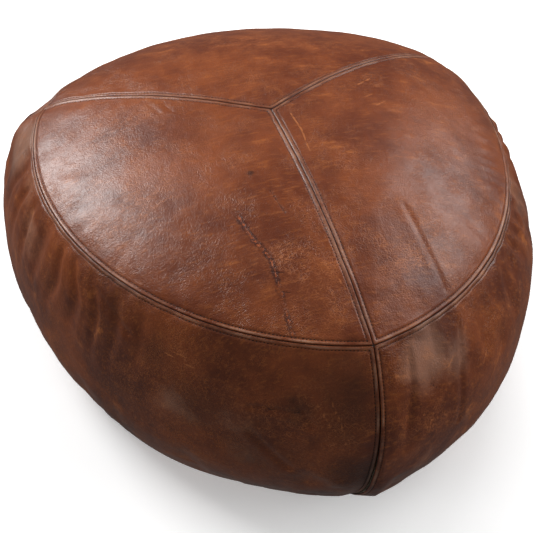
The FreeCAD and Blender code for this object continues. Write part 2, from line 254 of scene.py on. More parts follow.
# ---- marks of wear, painted sheen and painted shade ------------------------------------
# Most places come from a separate measuring script, some rounded since, and weren't chosen
# by hand. On the top a place is x and y in millimetres; on the side it is the direction in
# degrees and the height in millimetres.

SCAR = {"top": ((-95, -130), (-88, -165), (-75, -195), (-75, -275)), "side": ()}
CRACKS = {
    "top": (
        ((-53, -118), (-46, -150)), ((-82, -190), (-67, -195)), ((-82, -208), (-64, -214)),
        ((-82, -225), (-66, -235)),
    ),
    "side": (
        ((-87, 180), (-84, 160), (-80, 135)), ((-80, 200), (-74, 165)), ((247, 190), (256, 193)),
    ),
}
SCRATCHES = {
    "top": (
        ((2, -8), (6, -40), (4, -77)), ((190, 110), (225, 112)), ((114, 41), (96, 30)),
        ((107, 11), (96, 6)), ((118, -2), (104, -10)), ((-16, -228), (-12, -243)),
    ),
    "side": (
        ((230, 230), (236, 226)), ((229, 224), (236, 218)), ((-57, 165), (-64, 130)),
        ((-63, 177), (-65, 170)), ((-73, 206), (-75, 200)), ((259, 206), (262, 172)),
        ((261, 214), (264, 172)),
    ),
}
CREASES = {
    # line, width, depth
    "top": (
        (((84, -157), (90, -200), (98, -245)), 6.0, 0.8),
        (((-53, -118), (-46, -150)), 3.0, 0.5), (((-130, 60), (-123, 35)), 3.5, 0.9),
        (((-143, 58), (-137, 38)), 3.5, 0.8), (((-117, 60), (-111, 44)), 3.0, 0.7),
    ),
    "side": (
        (((247, 156), (254, 113)), 8.0, 1.8), (((247, 190), (256, 193)), 6.0, 1.8),
        (((255, 206), (258, 180)), 8.0, 2.2), (((-83, 235), (-85, 165)), 7.0, 1.3),
        (((-69, 230), (-72, 180), (-73, 125)), 7.0, 1.2), (((211, 251), (220, 225)), 9.0, 1.6),
    ),
}
SWELLS = {
    # across, along, width, height
    "top": (),
    "side": ((153, 236, 22, 5.0), (3, 210, 30, 1.8), (24, 190, 30, 1.5)),
}
SPOTS = {
    # across, along, width, strength
    # Dark patches: partly real stains in the leather, partly painted shade over the front-left of the
    # side.
    "stain_and_shade": {
        "top": ((-66, -90, 5, 1.0), (-60, -195, 40, 0.3), (-100, 10, 60, 0.4), (-10, -110, 60, 0.3)),
        "side": (
            (215, 240, 44, 0.6), (227, 215, 40, 0.6), (236, 175, 60, 0.75), (256, 200, 34, 0.7),
            (248, 130, 70, 0.7), (222, 140, 60, 0.5), (265, 205, 60, 0.8), (267, 110, 50, 0.9),
            (-85, 170, 24, 0.3),
        ),
    },
    # Pale greyish patches: a painted sheen that stands in for highlights, not a mark in the leather.
    "painted_sheen": {
        "top": ((-215, -60, 60, 0.35),),
        "side": (
            (-79, 225, 42, 0.9), (-72, 205, 34, 0.7), (176, 270, 40, 0.6), (160, 255, 45, 1.0),
            (-83, 90, 40, 0.5), (184, 225, 50, 0.6), (-20, 205, 50, 0.6), (245, 120, 45, 0.4),
            (231, 160, 40, 0.6), (243, 165, 30, 0.5),
        ),
    },
    "crackle": {
        "top": (
            (-60, -205, 26, 0.9), (-45, -245, 28, 1.0), (-20, -225, 20, 0.8), (70, -225, 32, 1.0),
            (100, -190, 30, 0.8), (-205, -70, 60, 0.6), (-190, 40, 50, 0.5), (0, 160, 90, 0.5),
        ),
        "side": (
            (259, 200, 30, 0.8), (263, 170, 28, 0.9), (233, 228, 20, 1.0), (255, 110, 34, 0.7),
            (236, 185, 50, 0.7), (250, 150, 55, 0.8), (225, 150, 50, 0.6), (262, 100, 45, 0.6),
            (-80, 150, 34, 0.7), (73, 150, 80, 0.6), (121, 170, 80, 0.6), (12, 120, 70, 0.6),
        ),
    },
}
AROUND = 5.4  # millimetres of the side's girth in one degree


# ---- the leather panels ----------------------------------------------------------------


def panel_angles(kind, name, across, share):
    """Direction of a place in a panel; the front side seam drifts on its way down."""
    angle = PANEL_START[name] + 120.0 * across
    drift = FRONT_SEAM_DRIFT[0] * share + FRONT_SEAM_DRIFT[1] * share ** 3
    if kind == "side" and name == "right":
        angle = angle + drift * (1 - across)
    if kind == "side" and name == "left":
        angle = angle + drift * across
    return angle


def seam_relief(gap, wave):
    """Height of the leather beside a seam: groove, folded edge, stitched valley and dip."""
    mm = gap / MM
    groove = -0.9 * bell(mm, 0, 0.55)
    fold = 0.5 * bell(mm, 2.3, 1.4)
    valley = -0.5 * bell(mm, 5.2, 0.8)
    shoulder = 0.15 * bell(mm, 7.8, 1.8)
    dip = -(1.3 + 0.6 * wave) * bell(mm, 0, 13.0)
    return MM * (groove + fold + valley + shoulder + dip)


@lru_cache(maxsize=None)
def panel(kind, name):
    """One leather panel as rows of points, with the distances to its seams."""
    surface = SURFACES[kind]
    fine = np.linspace(0.0, 1.0, SPINE_POINTS)
    middle = np.full(SPINE_POINTS, PANEL_START[name] + 60.0)
    length = walked(surface(middle, 1.0 - fine if kind == "top" else fine))
    count = int((length[-1] - 2 * NEAR_SEAM[-1]) / WEAVE_STEP)
    places = stations(length[-1], count)
    if kind == "top":
        shares = 1.0 - np.interp(places, length, fine)
        shares[-1] = 0.0
    else:
        shares = np.interp(places[: -len(NEAR_SEAM) + 1], length, fine)
        low = 1.0 - FOOT_FOLD / (UNIT * CROWN_HEIGHT)
        shares = np.append(shares[shares < low - 0.004], low)
    grid = np.linspace(0.0, 1.0, 500)
    rows = []
    for share in shares:
        level = np.full(500, max(share, 0.004) if kind == "top" else share)
        points = surface(panel_angles(kind, name, grid, level), level)
        rows.append(walked(points))
    widest = max(row[-1] for row in rows)
    count = int((widest - 2 * NEAR_SEAM[-1]) / WEAVE_STEP)
    across = np.array([np.interp(stations(row[-1], count), row, grid) for row in rows])
    along_row = np.array([stations(row[-1], count) for row in rows])
    share = np.repeat(shares[:, None], across.shape[1], 1)
    angle = panel_angles(kind, name, across, share)
    base = surface(angle, share)
    normal = outward(kind, angle, share)
    total = along_row[:, -1:]
    if kind == "top":
        reach = np.linalg.norm(base[..., :2] - np.array(APEX_SHIFT), axis=-1)
        turn = np.radians(np.clip(120.0 * across, 0, 90))
        back = np.radians(np.clip(120.0 * (1 - across), 0, 90))
        to_start = reach * np.sin(turn)
        to_end = reach * np.sin(back)
    else:
        to_start = along_row
        to_end = total - along_row
    edge = 1.0 if kind == "top" else 0.0
    inside = edge - 0.02 if kind == "top" else edge + 0.02
    run = surface(angle, np.full_like(share, inside)) - surface(angle, np.full_like(share, edge))
    to_crown = np.abs(share - edge) / 0.02 * np.linalg.norm(run, axis=-1)
    return {
        "kind": kind, "name": name, "angle": angle, "share": share, "base": base,
        "normal": normal, "start": to_start, "end": to_end, "crown": to_crown,
        "across": across,
    }


def nearest_seam(cut):
    """Distance to the nearest seam, rounded where two seams meet."""
    k = CORNER_SOFTNESS
    shares = sum(np.exp(-np.minimum(cut[edge] / k, 60.0)) for edge in ("start", "end", "crown"))
    return np.maximum(-k * np.log(np.maximum(shares, 1e-26)), 0.0)


def gathers(cut):
    """Soft pleats and ripples that the seams draw into the leather."""
    crown = cut["crown"] / MM
    angle = cut["angle"]
    around = np.radians(angle) * 300.0
    lift = np.zeros_like(crown)
    plane = np.stack([around, crown * 0.3, 0 * crown], -1)
    lift += 0.3 * soft_noise(plane, 16.0, 5) * bell(crown, 14, 16) * step_up(crown, 4, 10)
    if cut["kind"] == "side":
        wander = 9.0 * soft_noise(np.stack([around, crown, 0 * crown], -1), 60.0, 8)
        if cut["name"] == "left":
            phase = (around + 0.12 * crown + 1.5 * wander) / 37.0
            patch = step_up(angle, 156, 170) * (1 - step_up(angle, 206, 232))
            fold = np.sin(2 * math.pi * phase) + 0.35 * np.sin(4 * math.pi * phase + 1.0)
            lift += 2.3 * fold * patch * bell(crown, 50, 56) * step_up(crown, 3, 26)
        if cut["name"] == "right":
            phase = (around - 0.2 * crown + wander) / 25.0
            patch = step_up(angle, -58, -40) * (1 - step_up(angle, 4, 18))
            lift += 1.4 * np.sin(2 * math.pi * phase) * patch * bell(crown, 26, 28) * step_up(crown, 4, 18)
        if cut["name"] == "rear":
            phase = (around + 0.25 * crown + 2 * wander) / 27.0
            lift += 0.9 * np.sin(2 * math.pi * phase) * bell(crown, 28, 28) * step_up(crown, 4, 20)
    elif cut["name"] == "right":
        phase = (around + 0.5 * crown + 16.0 * soft_noise(plane, 45.0, 9)) / 23.0
        patch = step_up(angle, -36, -20) * (1 - step_up(angle, 4, 20))
        lift += 0.55 * np.sin(2 * math.pi * phase) * patch * bell(crown, 26, 20)
    for edge, seed in (("start", 21), ("end", 22)):
        gap = cut[edge] / MM
        run = np.stack([crown, gap * 0.35, 0 * crown], -1)
        fade = bell(gap, 13, 13) * step_up(gap, 3, 8)
        lift += 0.4 * soft_noise(run, 13.0, seed) * fade
    return MM * lift


def worn_shape(cut):
    """Outward shift of every point of a panel: seams, gathers, dents and creases."""
    base = cut["base"]
    gap = nearest_seam(cut)
    wave = soft_noise(base, 26 * MM, 3)
    shift = seam_relief(gap, wave)
    shift += gathers(cut)
    shift += settled_shift(cut)
    calm = step_up(gap, 0.0, 16 * MM)
    shift += MM * calm * (1.3 * soft_noise(base, 85 * MM, 1) + 0.55 * soft_noise(base, 34 * MM, 2))
    shift += MM * calm * 0.16 * soft_noise(base, 11 * MM, 4)
    for corner in ("left", "right"):
        bearing = math.radians({"left": 150.0, "right": 30.0}[corner])
        height = float(crown_height(np.array([math.degrees(bearing)]))[0])
        spot = UNIT * np.array([math.cos(bearing), math.sin(bearing), height])
        shift -= 5.0 * MM * bell(np.linalg.norm(base - spot, axis=-1), 0, 22 * MM)
    kind = cut["kind"]
    flat = laid_out(kind, base, cut["angle"])
    for across, along, wide, high in SWELLS[kind]:
        shift += high * MM * spotted(kind, flat, ((across, along, wide, 1.0),))
    for line, width, depth in CREASES[kind]:
        reach = reach_to(kind, flat, line)
        shift -= MM * depth * (bell(reach, 0, 0.5 * width) - 0.45 * bell(reach, width, width))
    if cut["kind"] == "side":
        low = step_up(base[..., 2], 4 * MM, 30 * MM)
        shift *= 0.15 + 0.85 * low
        beside = cut["end"] if cut["name"] == "left" else cut["start"]
        if cut["name"] == "left":
            shift += 4.5 * MM * bell(beside / MM, 40, 22) * bell(cut["share"], 0.6, 0.3)
            shift -= 3.0 * MM * bell(beside / MM, 0, 15) * bell(cut["share"], 0.65, 0.3)
    return shift


# ---- stuffing the cover --------------------------------------------------------------------
# The six panels are blown up as cloth with their seams and foot held, on a coarse lattice.
# What that moves is added to the fine panels.

CLOTH_SHARES = {"top": np.append(np.linspace(1.0, 0.02, 36), 0.0), "side": np.linspace(0.0, 1.0, 38)}
CLOTH_ACROSS = np.linspace(0.0, 1.0, 45)
CLOTH_FRAMES = 20
CLOTH_CAP = 3.0 * MM
CLOTH_KEPT = {"top": 0.22, "side": 0.8}  # the wadding holds the top smooth


def cloth_places(kind, name):
    """Coarse lattice of a panel, with its outward directions."""
    share = np.repeat(CLOTH_SHARES[kind][:, None], len(CLOTH_ACROSS), 1)
    across = np.repeat(CLOTH_ACROSS[None], len(share), 0)
    angle = panel_angles(kind, name, across, share)
    place = SURFACES[kind](angle, share)
    if kind == "side":
        place[..., 2] = np.maximum(place[..., 2], FOOT_FOLD)
    return place, outward(kind, angle, share)


@lru_cache(maxsize=None)
def settled():
    """How far out the stuffed cloth stands from the plain form, over each panel's lattice."""
    names = [(kind, name) for kind in ("top", "side") for name in PANEL_START]
    places = {key: cloth_places(*key) for key in names}
    points = np.concatenate([places[key][0].reshape(-1, 3) for key in names])
    grid = np.round(points / (0.3 * MM)).astype(int)
    _, first, joined = np.unique(grid, axis=0, return_index=True, return_inverse=True)
    joined = joined.ravel()
    faces = []
    held = []
    start = 0
    columns = len(CLOTH_ACROSS)
    for kind, name in names:
        rows = len(CLOTH_SHARES[kind])
        for face in grid_faces(rows, columns, kind == "side", start):
            corners = list(dict.fromkeys(int(joined[i]) for i in face))
            if len(corners) > 2:
                faces.append(corners)
        for j in range(rows):
            foot = kind == "side" and j >= rows - 2
            for i in range(columns):
                if foot or j == 0 or i in (0, columns - 1):
                    held.append(int(joined[start + j * columns + i]))
        start += rows * columns
    body = make_object("cloth_trial", points[first], faces)
    seams = body.vertex_groups.new(name="seams")
    seams.add(sorted(set(held)), 1.0, "ADD")
    cloth = body.modifiers.new("Stuffing", "CLOTH")
    cloth.settings.quality = 6
    cloth.settings.mass = 0.4
    cloth.settings.tension_stiffness = 25.0
    cloth.settings.compression_stiffness = 25.0
    cloth.settings.shear_stiffness = 8.0
    cloth.settings.bending_stiffness = 0.6
    cloth.settings.air_damping = 4.0
    cloth.settings.use_pressure = True
    cloth.settings.uniform_pressure_force = 1.2
    cloth.settings.shrink_min = -0.01
    cloth.settings.vertex_group_mass = "seams"
    cloth.settings.effector_weights.gravity = 0.0
    cloth.collision_settings.use_collision = False
    cloth.point_cache.frame_start = 1
    cloth.point_cache.frame_end = CLOTH_FRAMES
    scene = bpy.context.scene
    for step in range(1, CLOTH_FRAMES + 1):
        scene.frame_set(step)
    blown = body.evaluated_get(bpy.context.evaluated_depsgraph_get())
    moved = np.zeros(len(first) * 3)
    blown.data.vertices.foreach_get("co", moved)
    moved = moved.reshape(-1, 3)[joined]
    bpy.data.objects.remove(body, do_unlink=True)
    scene.frame_set(1)
    shifts = {}
    start = 0
    for key in names:
        place, lean = places[key]
        count = place.shape[0] * place.shape[1]
        move = moved[start:start + count].reshape(place.shape) - place
        shifts[key] = CLOTH_KEPT[key[0]] * np.clip(np.sum(move * lean, -1), -CLOTH_CAP, CLOTH_CAP)
        start += count
    return shifts


def settled_shift(cut):
    """The stuffed cloth's shift at every point of a fine panel."""
    kind = cut["kind"]
    lattice = settled()[(kind, cut["name"])]
    levels = CLOTH_SHARES[kind]
    order = np.argsort(levels)
    shift = np.zeros(cut["share"].shape)
    for j in range(len(shift)):
        level = cut["share"][j, 0]
        row = [np.interp(level, levels[order], lattice[order, i]) for i in range(lattice.shape[1])]
        shift[j] = np.interp(cut["across"][j], CLOTH_ACROSS, row)
    return shift


@lru_cache(maxsize=None)
def sewn(kind, name):
    """A panel after sewing: its points, its outward directions and its seam distances."""
    cut = dict(panel(kind, name))
    weight = np.exp(-(cut["crown"] / (2.6 * MM)) ** 2)[..., None]
    lean = unit(cut["normal"] * (1 - weight) + crown_outward(cut["angle"]) * weight)
    cut["lean"] = lean
    cut["place"] = cut["base"] + lean * worn_shape(cut)[..., None]
    cut["seam"] = nearest_seam(cut)
    down = np.gradient(cut["place"], axis=0)
    side = np.gradient(cut["place"], axis=1)
    flip = 1.0 if kind == "top" else -1.0
    cut["face"] = unit(np.cross(side, down) * flip)
    return cut


def foot_fold(cut):
    """Rows that turn the side panel under the foot, added below its last row."""
    last = cut["place"][-1]
    flat = unit(last * np.array([1.0, 1.0, 0.0]))
    height = last[:, 2:3]
    rows = []
    for degrees in (22.5, 45.0, 67.5, 90.0):
        t = math.radians(degrees)
        drop = height * (1 - math.sin(t))
        inward = FOOT_FOLD * (1 - math.cos(t))
        point = last * np.array([1.0, 1.0, 0.0]) - flat * inward
        rows.append(point + drop * np.array([0.0, 0.0, 1.0]))
    angle = cut["angle"][-1]
    bearing = np.radians(angle)
    reach = UNIT * three_arcs(angle, FOOT) - FOOT_TURN
    inner = np.stack([reach * np.cos(bearing), reach * np.sin(bearing), 0 * reach], -1)
    for part in (0.33, 0.66, 1.0):
        rows.append(rows[3] * (1 - part) + inner * part)
    return np.array(rows)


# ---- meshes ------------------------------------------------------------------------------


def make_object(name, points, faces, values=None):
    """A mesh object with its place in its mesh, and float values kept on its points."""
    mesh = bpy.data.meshes.new(name)
    mesh.from_pydata([tuple(p) for p in points], [], faces)
    for key, numbers in (values or {}).items():
        layer = mesh.attributes.new(key, "FLOAT", "POINT")
        layer.data.foreach_set("value", np.asarray(numbers, np.float32).ravel())
    mesh.polygons.foreach_set("use_smooth", [True] * len(mesh.polygons))
    mesh.update()
    made = bpy.data.objects.new(name, mesh)
    bpy.context.scene.collection.objects.link(made)
    return made


def grid_faces(rows, columns, turned=False, start=0):
    """Four-sided faces over rows of points."""
    faces = []
    for j in range(rows - 1):
        for i in range(columns - 1):
            a = start + j * columns + i
            quad = (a, a + 1, a + columns + 1, a + columns)
            faces.append(quad[::-1] if turned else quad)
    return faces


def thicken(piece, thickness):
    """Gives a surface its wall, inwards."""
    wall = piece.modifiers.new("Wall", "SOLIDIFY")
    wall.thickness = thickness
    wall.offset = -1.0
    wall.use_even_offset = False
    return wall


def finished(piece, body, slot, material, *nodes):
    """Puts a finished piece on its body, with its material where one is given, and hides the imported
    parts it stands for.
    """
    if material is not None:
        piece.data.materials.clear()
        piece.data.materials.append(material)
    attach(piece, body)
    if nodes:
        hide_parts(*nodes)
    return piece


def dress(node, look):
    """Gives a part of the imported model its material."""
    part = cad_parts[node]
    part.data.materials.clear()
    part.data.materials.append(look)


def mark_values(kind, place, angle):
    """Distances to the lines of wear, in millimetres, and strengths of the spots."""
    flat = laid_out(kind, place, angle)
    values = {"scar": reach_to(kind, flat, SCAR[kind])}
    for key, lines in (("scratch", SCRATCHES), ("crack", CRACKS)):
        gaps = [reach_to(kind, flat, line) for line in lines[kind]]
        values[key] = np.min(gaps, axis=0)
    for key, spots in SPOTS.items():
        values[key] = spotted(kind, flat, spots[kind])
    return values


def leather_panel(kind, name):
    """One leather panel of the top or the side, ready for its wall."""
    cut = sewn(kind, name)
    place = cut["place"]
    seam = cut["seam"] / MM
    if kind == "side":
        fold = foot_fold(cut)
        place = np.concatenate([place, fold])
        seam = np.concatenate([seam, np.repeat(seam[-1:], len(fold), 0)])
        angle = np.concatenate([cut["angle"], np.repeat(cut["angle"][-1:], len(fold), 0)])
    rows, columns = place.shape[:2]
    values = {"seam": seam, **mark_values(kind, place, angle if kind == "side" else None)}
    if kind == "side":
        points = place.reshape(-1, 3)
        faces = grid_faces(rows, columns, turned=True)
    else:
        points = np.concatenate([place[:-1].reshape(-1, 3), place[-1, :1]])
        faces = grid_faces(rows - 1, columns)
        pole = len(points) - 1
        last = (rows - 2) * columns
        faces += [(last + i, last + i + 1, pole) for i in range(columns - 1)]
        values = {k: np.append(v[:-1].ravel(), v[-1, 0]) for k, v in values.items()}
    return make_object("leather_%s_%s" % (kind, name), points, faces, values)


# ---- stitch rows -----------------------------------------------------------------------


def row_beside_seam(cut, edge, offset):
    """Points and outward directions of a stitch row beside a radial or side seam."""
    gap = cut[edge]
    half = gap.shape[1] // 2
    pick = slice(0, half) if edge == "start" else slice(gap.shape[1] - 1, gap.shape[1] - 1 - half, -1)
    other = "end" if edge == "start" else "start"
    points = []
    leans = []
    for j in range(gap.shape[0]):
        line = gap[j, pick]
        if line[-1] <= offset or line[0] > offset:
            continue
        values = {}
        for key in (other, "crown"):
            values[key] = float(np.interp(offset, line, cut[key][j, pick]))
        if values["crown"] < offset or values[other] < offset:
            continue
        points.append([np.interp(offset, line, cut["place"][j, pick, k]) for k in range(3)])
        leans.append([np.interp(offset, line, cut["face"][j, pick, k]) for k in range(3)])
    return np.array(points), unit(np.array(leans))


def row_beside_crown(cut, offset):
    """Points and outward directions of a stitch row along the crown seam."""
    points = []
    leans = []
    for i in range(cut["crown"].shape[1]):
        line = cut["crown"][:40, i]
        if float(np.interp(offset, line, cut["start"][:40, i])) < offset:
            continue
        if float(np.interp(offset, line, cut["end"][:40, i])) < offset:
            continue
        points.append([np.interp(offset, line, cut["place"][:40, i, k]) for k in range(3)])
        leans.append([np.interp(offset, line, cut["face"][:40, i, k]) for k in range(3)])
    return np.array(points), unit(np.array(leans))


def guide_lines(name, rows):
    """Broken lines as one mesh, with the outward direction kept on every point."""
    points = np.concatenate([row[0] for row in rows])
    leans = np.concatenate([row[1] for row in rows])
    edges = []
    first = 0
    for row, _ in rows:
        edges += [(first + i, first + i + 1) for i in range(len(row) - 1)]
        first += len(row)
    mesh = bpy.data.meshes.new(name)
    mesh.from_pydata([tuple(p) for p in points], edges, [])
    layer = mesh.attributes.new("facing", "FLOAT_VECTOR", "POINT")
    layer.data.foreach_set("vector", leans.astype(np.float32).ravel())
    guide = bpy.data.objects.new(name, mesh)
    bpy.context.scene.collection.objects.link(guide)
    return guide


class Nodes:
    """Adds nodes to a tree."""

    def node(self, kind, settings=None, sockets=None, output=0):
        """A node with its settings first, then its sockets' values or links; gives one output."""
        made = self.tree.nodes.new(kind)
        for key, value in (settings or {}).items():
            setattr(made, key, value)
        for key, value in (sockets or {}).items():
            value = getattr(value, "socket", value)
            if isinstance(value, bpy.types.NodeSocket):
                self.tree.links.new(value, made.inputs[key])
            else:
                made.inputs[key].default_value = value
        return self.given(made, output)

    def given(self, made, output):
        """An output of a node."""
        return made.outputs[output]


class Pattern(Nodes):
    """Builds one Geometry Nodes tree."""

    def __init__(self, name, inputs):
        self.tree = bpy.data.node_groups.new(name, "GeometryNodeTree")
        face = self.tree.interface
        face.new_socket("Geometry", in_out="INPUT", socket_type="NodeSocketGeometry")
        for label, kind, value in inputs:
            socket = face.new_socket(label, in_out="INPUT", socket_type=kind)
            if value is not None:
                socket.default_value = value
        face.new_socket("Geometry", in_out="OUTPUT", socket_type="NodeSocketGeometry")
        self.own_inputs = self.tree.nodes.new("NodeGroupInput")
        self.result = self.tree.nodes.new("NodeGroupOutput")

    def input(self, label):
        """One of the tree's own inputs."""
        return self.own_inputs.outputs[label]

    def finish(self, geometry):
        """Ends the tree in this geometry."""
        self.tree.links.new(geometry, self.result.inputs[0])
        return self.tree


def stitch_pattern():
    """Stitches laid nose to tail along guide lines."""
    length = "NodeSocketFloat"
    made = Pattern("Stitch Row", [
        ("Stitch Pitch", length, 3.7 * MM),
        ("Stitch Length", length, 2.3 * MM),
        ("Stitch Width", length, 0.85 * MM),
        ("Stitch Height", length, 0.7 * MM),
        ("Lift", length, 0.1 * MM),
        ("Slant", length, 0.16),
        ("Seed", "NodeSocketInt", 7),
        ("Thread", "NodeSocketMaterial", None),
    ])
    facing = made.node("GeometryNodeInputNamedAttribute", {"data_type": "FLOAT_VECTOR"},
                       {"Name": "facing"})
    curve = made.node("GeometryNodeMeshToCurve", None, {"Mesh": made.input("Geometry")})
    spaced = made.node("GeometryNodeResampleCurve", {"mode": "LENGTH"},
                       {"Curve": curve, "Length": made.input("Stitch Pitch")})
    rise = made.node("ShaderNodeVectorMath", {"operation": "SCALE"},
                     {0: facing, "Scale": made.input("Lift")})
    raised = made.node("GeometryNodeSetPosition", None, {"Geometry": spaced, "Offset": rise})
    tangent = made.node("GeometryNodeInputTangent")
    stand = made.node("FunctionNodeAxesToRotation", {"primary_axis": "Z", "secondary_axis": "X"},
                      {0: facing, 1: tangent})
    wobble = made.node("FunctionNodeRandomValue", {"data_type": "FLOAT"},
                       {2: -0.1, 3: 0.1, "Seed": made.input("Seed")}, 1)
    slant = made.node("ShaderNodeMath", {"operation": "ADD"},
                      {0: wobble, 1: made.input("Slant")})
    turn = made.node("ShaderNodeCombineXYZ", None, {"Z": slant})
    spin = made.node("FunctionNodeEulerToRotation", None, {0: turn})
    rotation = made.node("FunctionNodeRotateRotation", {"rotation_space": "LOCAL"},
                         {0: stand, 1: spin})
    bead = made.node("GeometryNodeMeshUVSphere", None, {"Segments": 8, "Rings": 6, "Radius": 0.5})
    size = made.node("ShaderNodeCombineXYZ", None, {
        "X": made.input("Stitch Length"),
        "Y": made.input("Stitch Width"),
        "Z": made.input("Stitch Height"),
    })
    vary = made.node("FunctionNodeRandomValue", {"data_type": "FLOAT"},
                     {2: 0.86, 3: 1.1, "Seed": made.input("Seed")}, 1)
    scale = made.node("ShaderNodeVectorMath", {"operation": "SCALE"}, {0: size, "Scale": vary})
    placed = made.node("GeometryNodeInstanceOnPoints", None, {
        "Points": raised, "Instance": bead, "Rotation": rotation, "Scale": scale})
    solid = made.node("GeometryNodeRealizeInstances", None, {"Geometry": placed})
    smooth = made.node("GeometryNodeSetShadeSmooth", None, {"Geometry": solid})
    coloured = made.node("GeometryNodeSetMaterial", None,
                         {"Geometry": smooth, "Material": made.input("Thread")})
    return made.finish(coloured)


def tooth_pattern():
    """Zip teeth along a guide line, each a bar with a rounded head."""
    length = "NodeSocketFloat"
    made = Pattern("Zip Teeth", [
        ("Tooth Pitch", length, 4.0 * MM),
        ("Tooth Width", length, 1.3 * MM),
        ("Tooth Reach", length, 2.3 * MM),
        ("Tooth Height", length, 2.4 * MM),
        ("Metal", "NodeSocketMaterial", None),
    ])
    facing = made.node("GeometryNodeInputNamedAttribute", {"data_type": "FLOAT_VECTOR"},
                       {"Name": "facing"})
    curve = made.node("GeometryNodeMeshToCurve", None, {"Mesh": made.input("Geometry")})
    spaced = made.node("GeometryNodeResampleCurve", {"mode": "LENGTH"},
                       {"Curve": curve, "Length": made.input("Tooth Pitch")})
    size = made.node("ShaderNodeCombineXYZ", None, {
        "X": made.input("Tooth Width"),
        "Y": made.input("Tooth Reach"),
        "Z": made.input("Tooth Height"),
    })
    bar = made.node("GeometryNodeMeshCube", None, {"Size": size})
    head = made.node("GeometryNodeMeshCylinder", None, {
        "Vertices": 10, "Radius": 0.85 * MM, "Depth": made.input("Tooth Height")})
    reach = made.node("ShaderNodeCombineXYZ", None, {"Y": 0.85 * MM})
    moved = made.node("GeometryNodeTransform", None, {"Geometry": head, "Translation": reach})
    link_size = made.node("ShaderNodeCombineXYZ", None,
                          {"X": made.input("Tooth Pitch"), "Y": 1.5 * MM, "Z": 1.5 * MM})
    link = made.node("GeometryNodeMeshCube", None, {"Size": link_size})
    back = made.node("ShaderNodeCombineXYZ", None, {"Y": -1.9 * MM})
    linked = made.node("GeometryNodeTransform", None, {"Geometry": link, "Translation": back})
    both = made.node("GeometryNodeJoinGeometry")
    join = both.node
    for part in (bar, moved, linked):
        made.tree.links.new(part, join.inputs[0])
    stand = made.node("FunctionNodeAxesToRotation", {"primary_axis": "Z", "secondary_axis": "Y"},
                      {0: (0.0, 0.0, 1.0), 1: facing})
    placed = made.node("GeometryNodeInstanceOnPoints", None,
                       {"Points": spaced, "Instance": both, "Rotation": stand})
    solid = made.node("GeometryNodeRealizeInstances", None, {"Geometry": placed})
    coloured = made.node("GeometryNodeSetMaterial", None,
                         {"Geometry": solid, "Material": made.input("Metal")})
    return made.finish(coloured)


def grown(guide, tree, values):
    """Runs a pattern on its guide and gives the result as a plain mesh."""
    run = guide.modifiers.new("Pattern", "NODES")
    run.node_group = tree
    for item in tree.interface.items_tree:
        if item.in_out == "INPUT" and item.name in values:
            run[item.identifier] = values[item.name]
    depsgraph = bpy.context.evaluated_depsgraph_get()
    mesh = bpy.data.meshes.new_from_object(guide.evaluated_get(depsgraph))
    guide.modifiers.remove(run)
    if not mesh.polygons:
        raise RuntimeError("%s: the pattern made nothing" % guide.name)
    guide.data = mesh
    return guide


# ---- materials ------------------------------------------------------------------------------


def shade(red, green, blue):
    """A display colour, 0 to 255 each, as linear light."""
    out = []
    for value in (red, green, blue):
        value /= 255.0
        out.append(value / 12.92 if value <= 0.04045 else ((value + 0.055) / 1.055) ** 2.4)
    return tuple(out) + (1.0,)


class Wire:
    """A value in a material; arithmetic on it adds Math nodes."""

    def __init__(self, finish, socket):
        self.finish = finish
        self.socket = socket

    def _maths(self, operation, *values):
        return self.finish.node("ShaderNodeMath", {"operation": operation}, dict(enumerate(values)))

    def __add__(self, other):
        return self._maths("ADD", self, other)

    __radd__ = __add__

    def __sub__(self, other):
        return self._maths("SUBTRACT", self, other)

    def __rsub__(self, other):
        return self._maths("SUBTRACT", other, self)

    def __mul__(self, other):
        return self._maths("MULTIPLY", self, other)

    __rmul__ = __mul__


class Finish(Nodes):
    """Builds one material's nodes."""

    def __init__(self, name):
        self.material = bpy.data.materials.new(name)
        self.material.use_nodes = True
        self.tree = self.material.node_tree
        self.tree.nodes.clear()

    def given(self, made, output):
        """An output of a node, ready for arithmetic."""
        return Wire(self, made.outputs[output]) if len(made.outputs) else None

    def place(self):
        """Position on the object, in metres."""
        return self.node("ShaderNodeTexCoord", None, None, "Object")

    def value(self, name):
        """A number kept on the mesh."""
        settings = {"attribute_type": "GEOMETRY", "attribute_name": name}
        return self.node("ShaderNodeAttribute", settings, None, "Fac")

    def noise(self, place, scale, detail=2.0, roughness=0.5, distortion=0.0):
        """Cloudy noise, 0 to 1."""
        return self.node("ShaderNodeTexNoise", None, {
            "Vector": place, "Scale": scale, "Detail": detail, "Roughness": roughness,
            "Distortion": distortion})

    def cells(self, place, scale, feature="F1", output="Distance"):
        """Cell noise."""
        return self.node("ShaderNodeTexVoronoi", {"feature": feature},
                         {"Vector": place, "Scale": scale}, output)

    def turned(self, place, rotation, scale):
        """A place turned and stretched for a pattern with a direction."""
        return self.node("ShaderNodeMapping", None,
                         {"Vector": place, "Rotation": rotation, "Scale": scale})

    def band(self, value, low, high, bottom=0.0, top=1.0):
        """A smooth step from bottom to top while the value goes from low to high."""
        return self.node("ShaderNodeMapRange", {"interpolation_type": "SMOOTHSTEP"}, {
            "Value": value, "From Min": low, "From Max": high, "To Min": bottom, "To Max": top})

    def mix(self, amount, first, second, blend="MIX"):
        """Two colours mixed."""
        return self.node("ShaderNodeMix", {"data_type": "RGBA", "blend_type": blend},
                         {0: amount, 6: first, 7: second}, 2)

    def bump(self, height, distance, strength=1.0, under=None):
        """A bump, on top of another one where that is given."""
        sockets = {"Height": height, "Distance": distance, "Strength": strength}
        if under is not None:
            sockets["Normal"] = under
        return self.node("ShaderNodeBump", None, sockets)

    def surface(self, sockets):
        """Ends the material in one principled surface."""
        shader = self.node("ShaderNodeBsdfPrincipled", None, sockets)
        self.node("ShaderNodeOutputMaterial", None, {"Surface": shader})
        return self.material


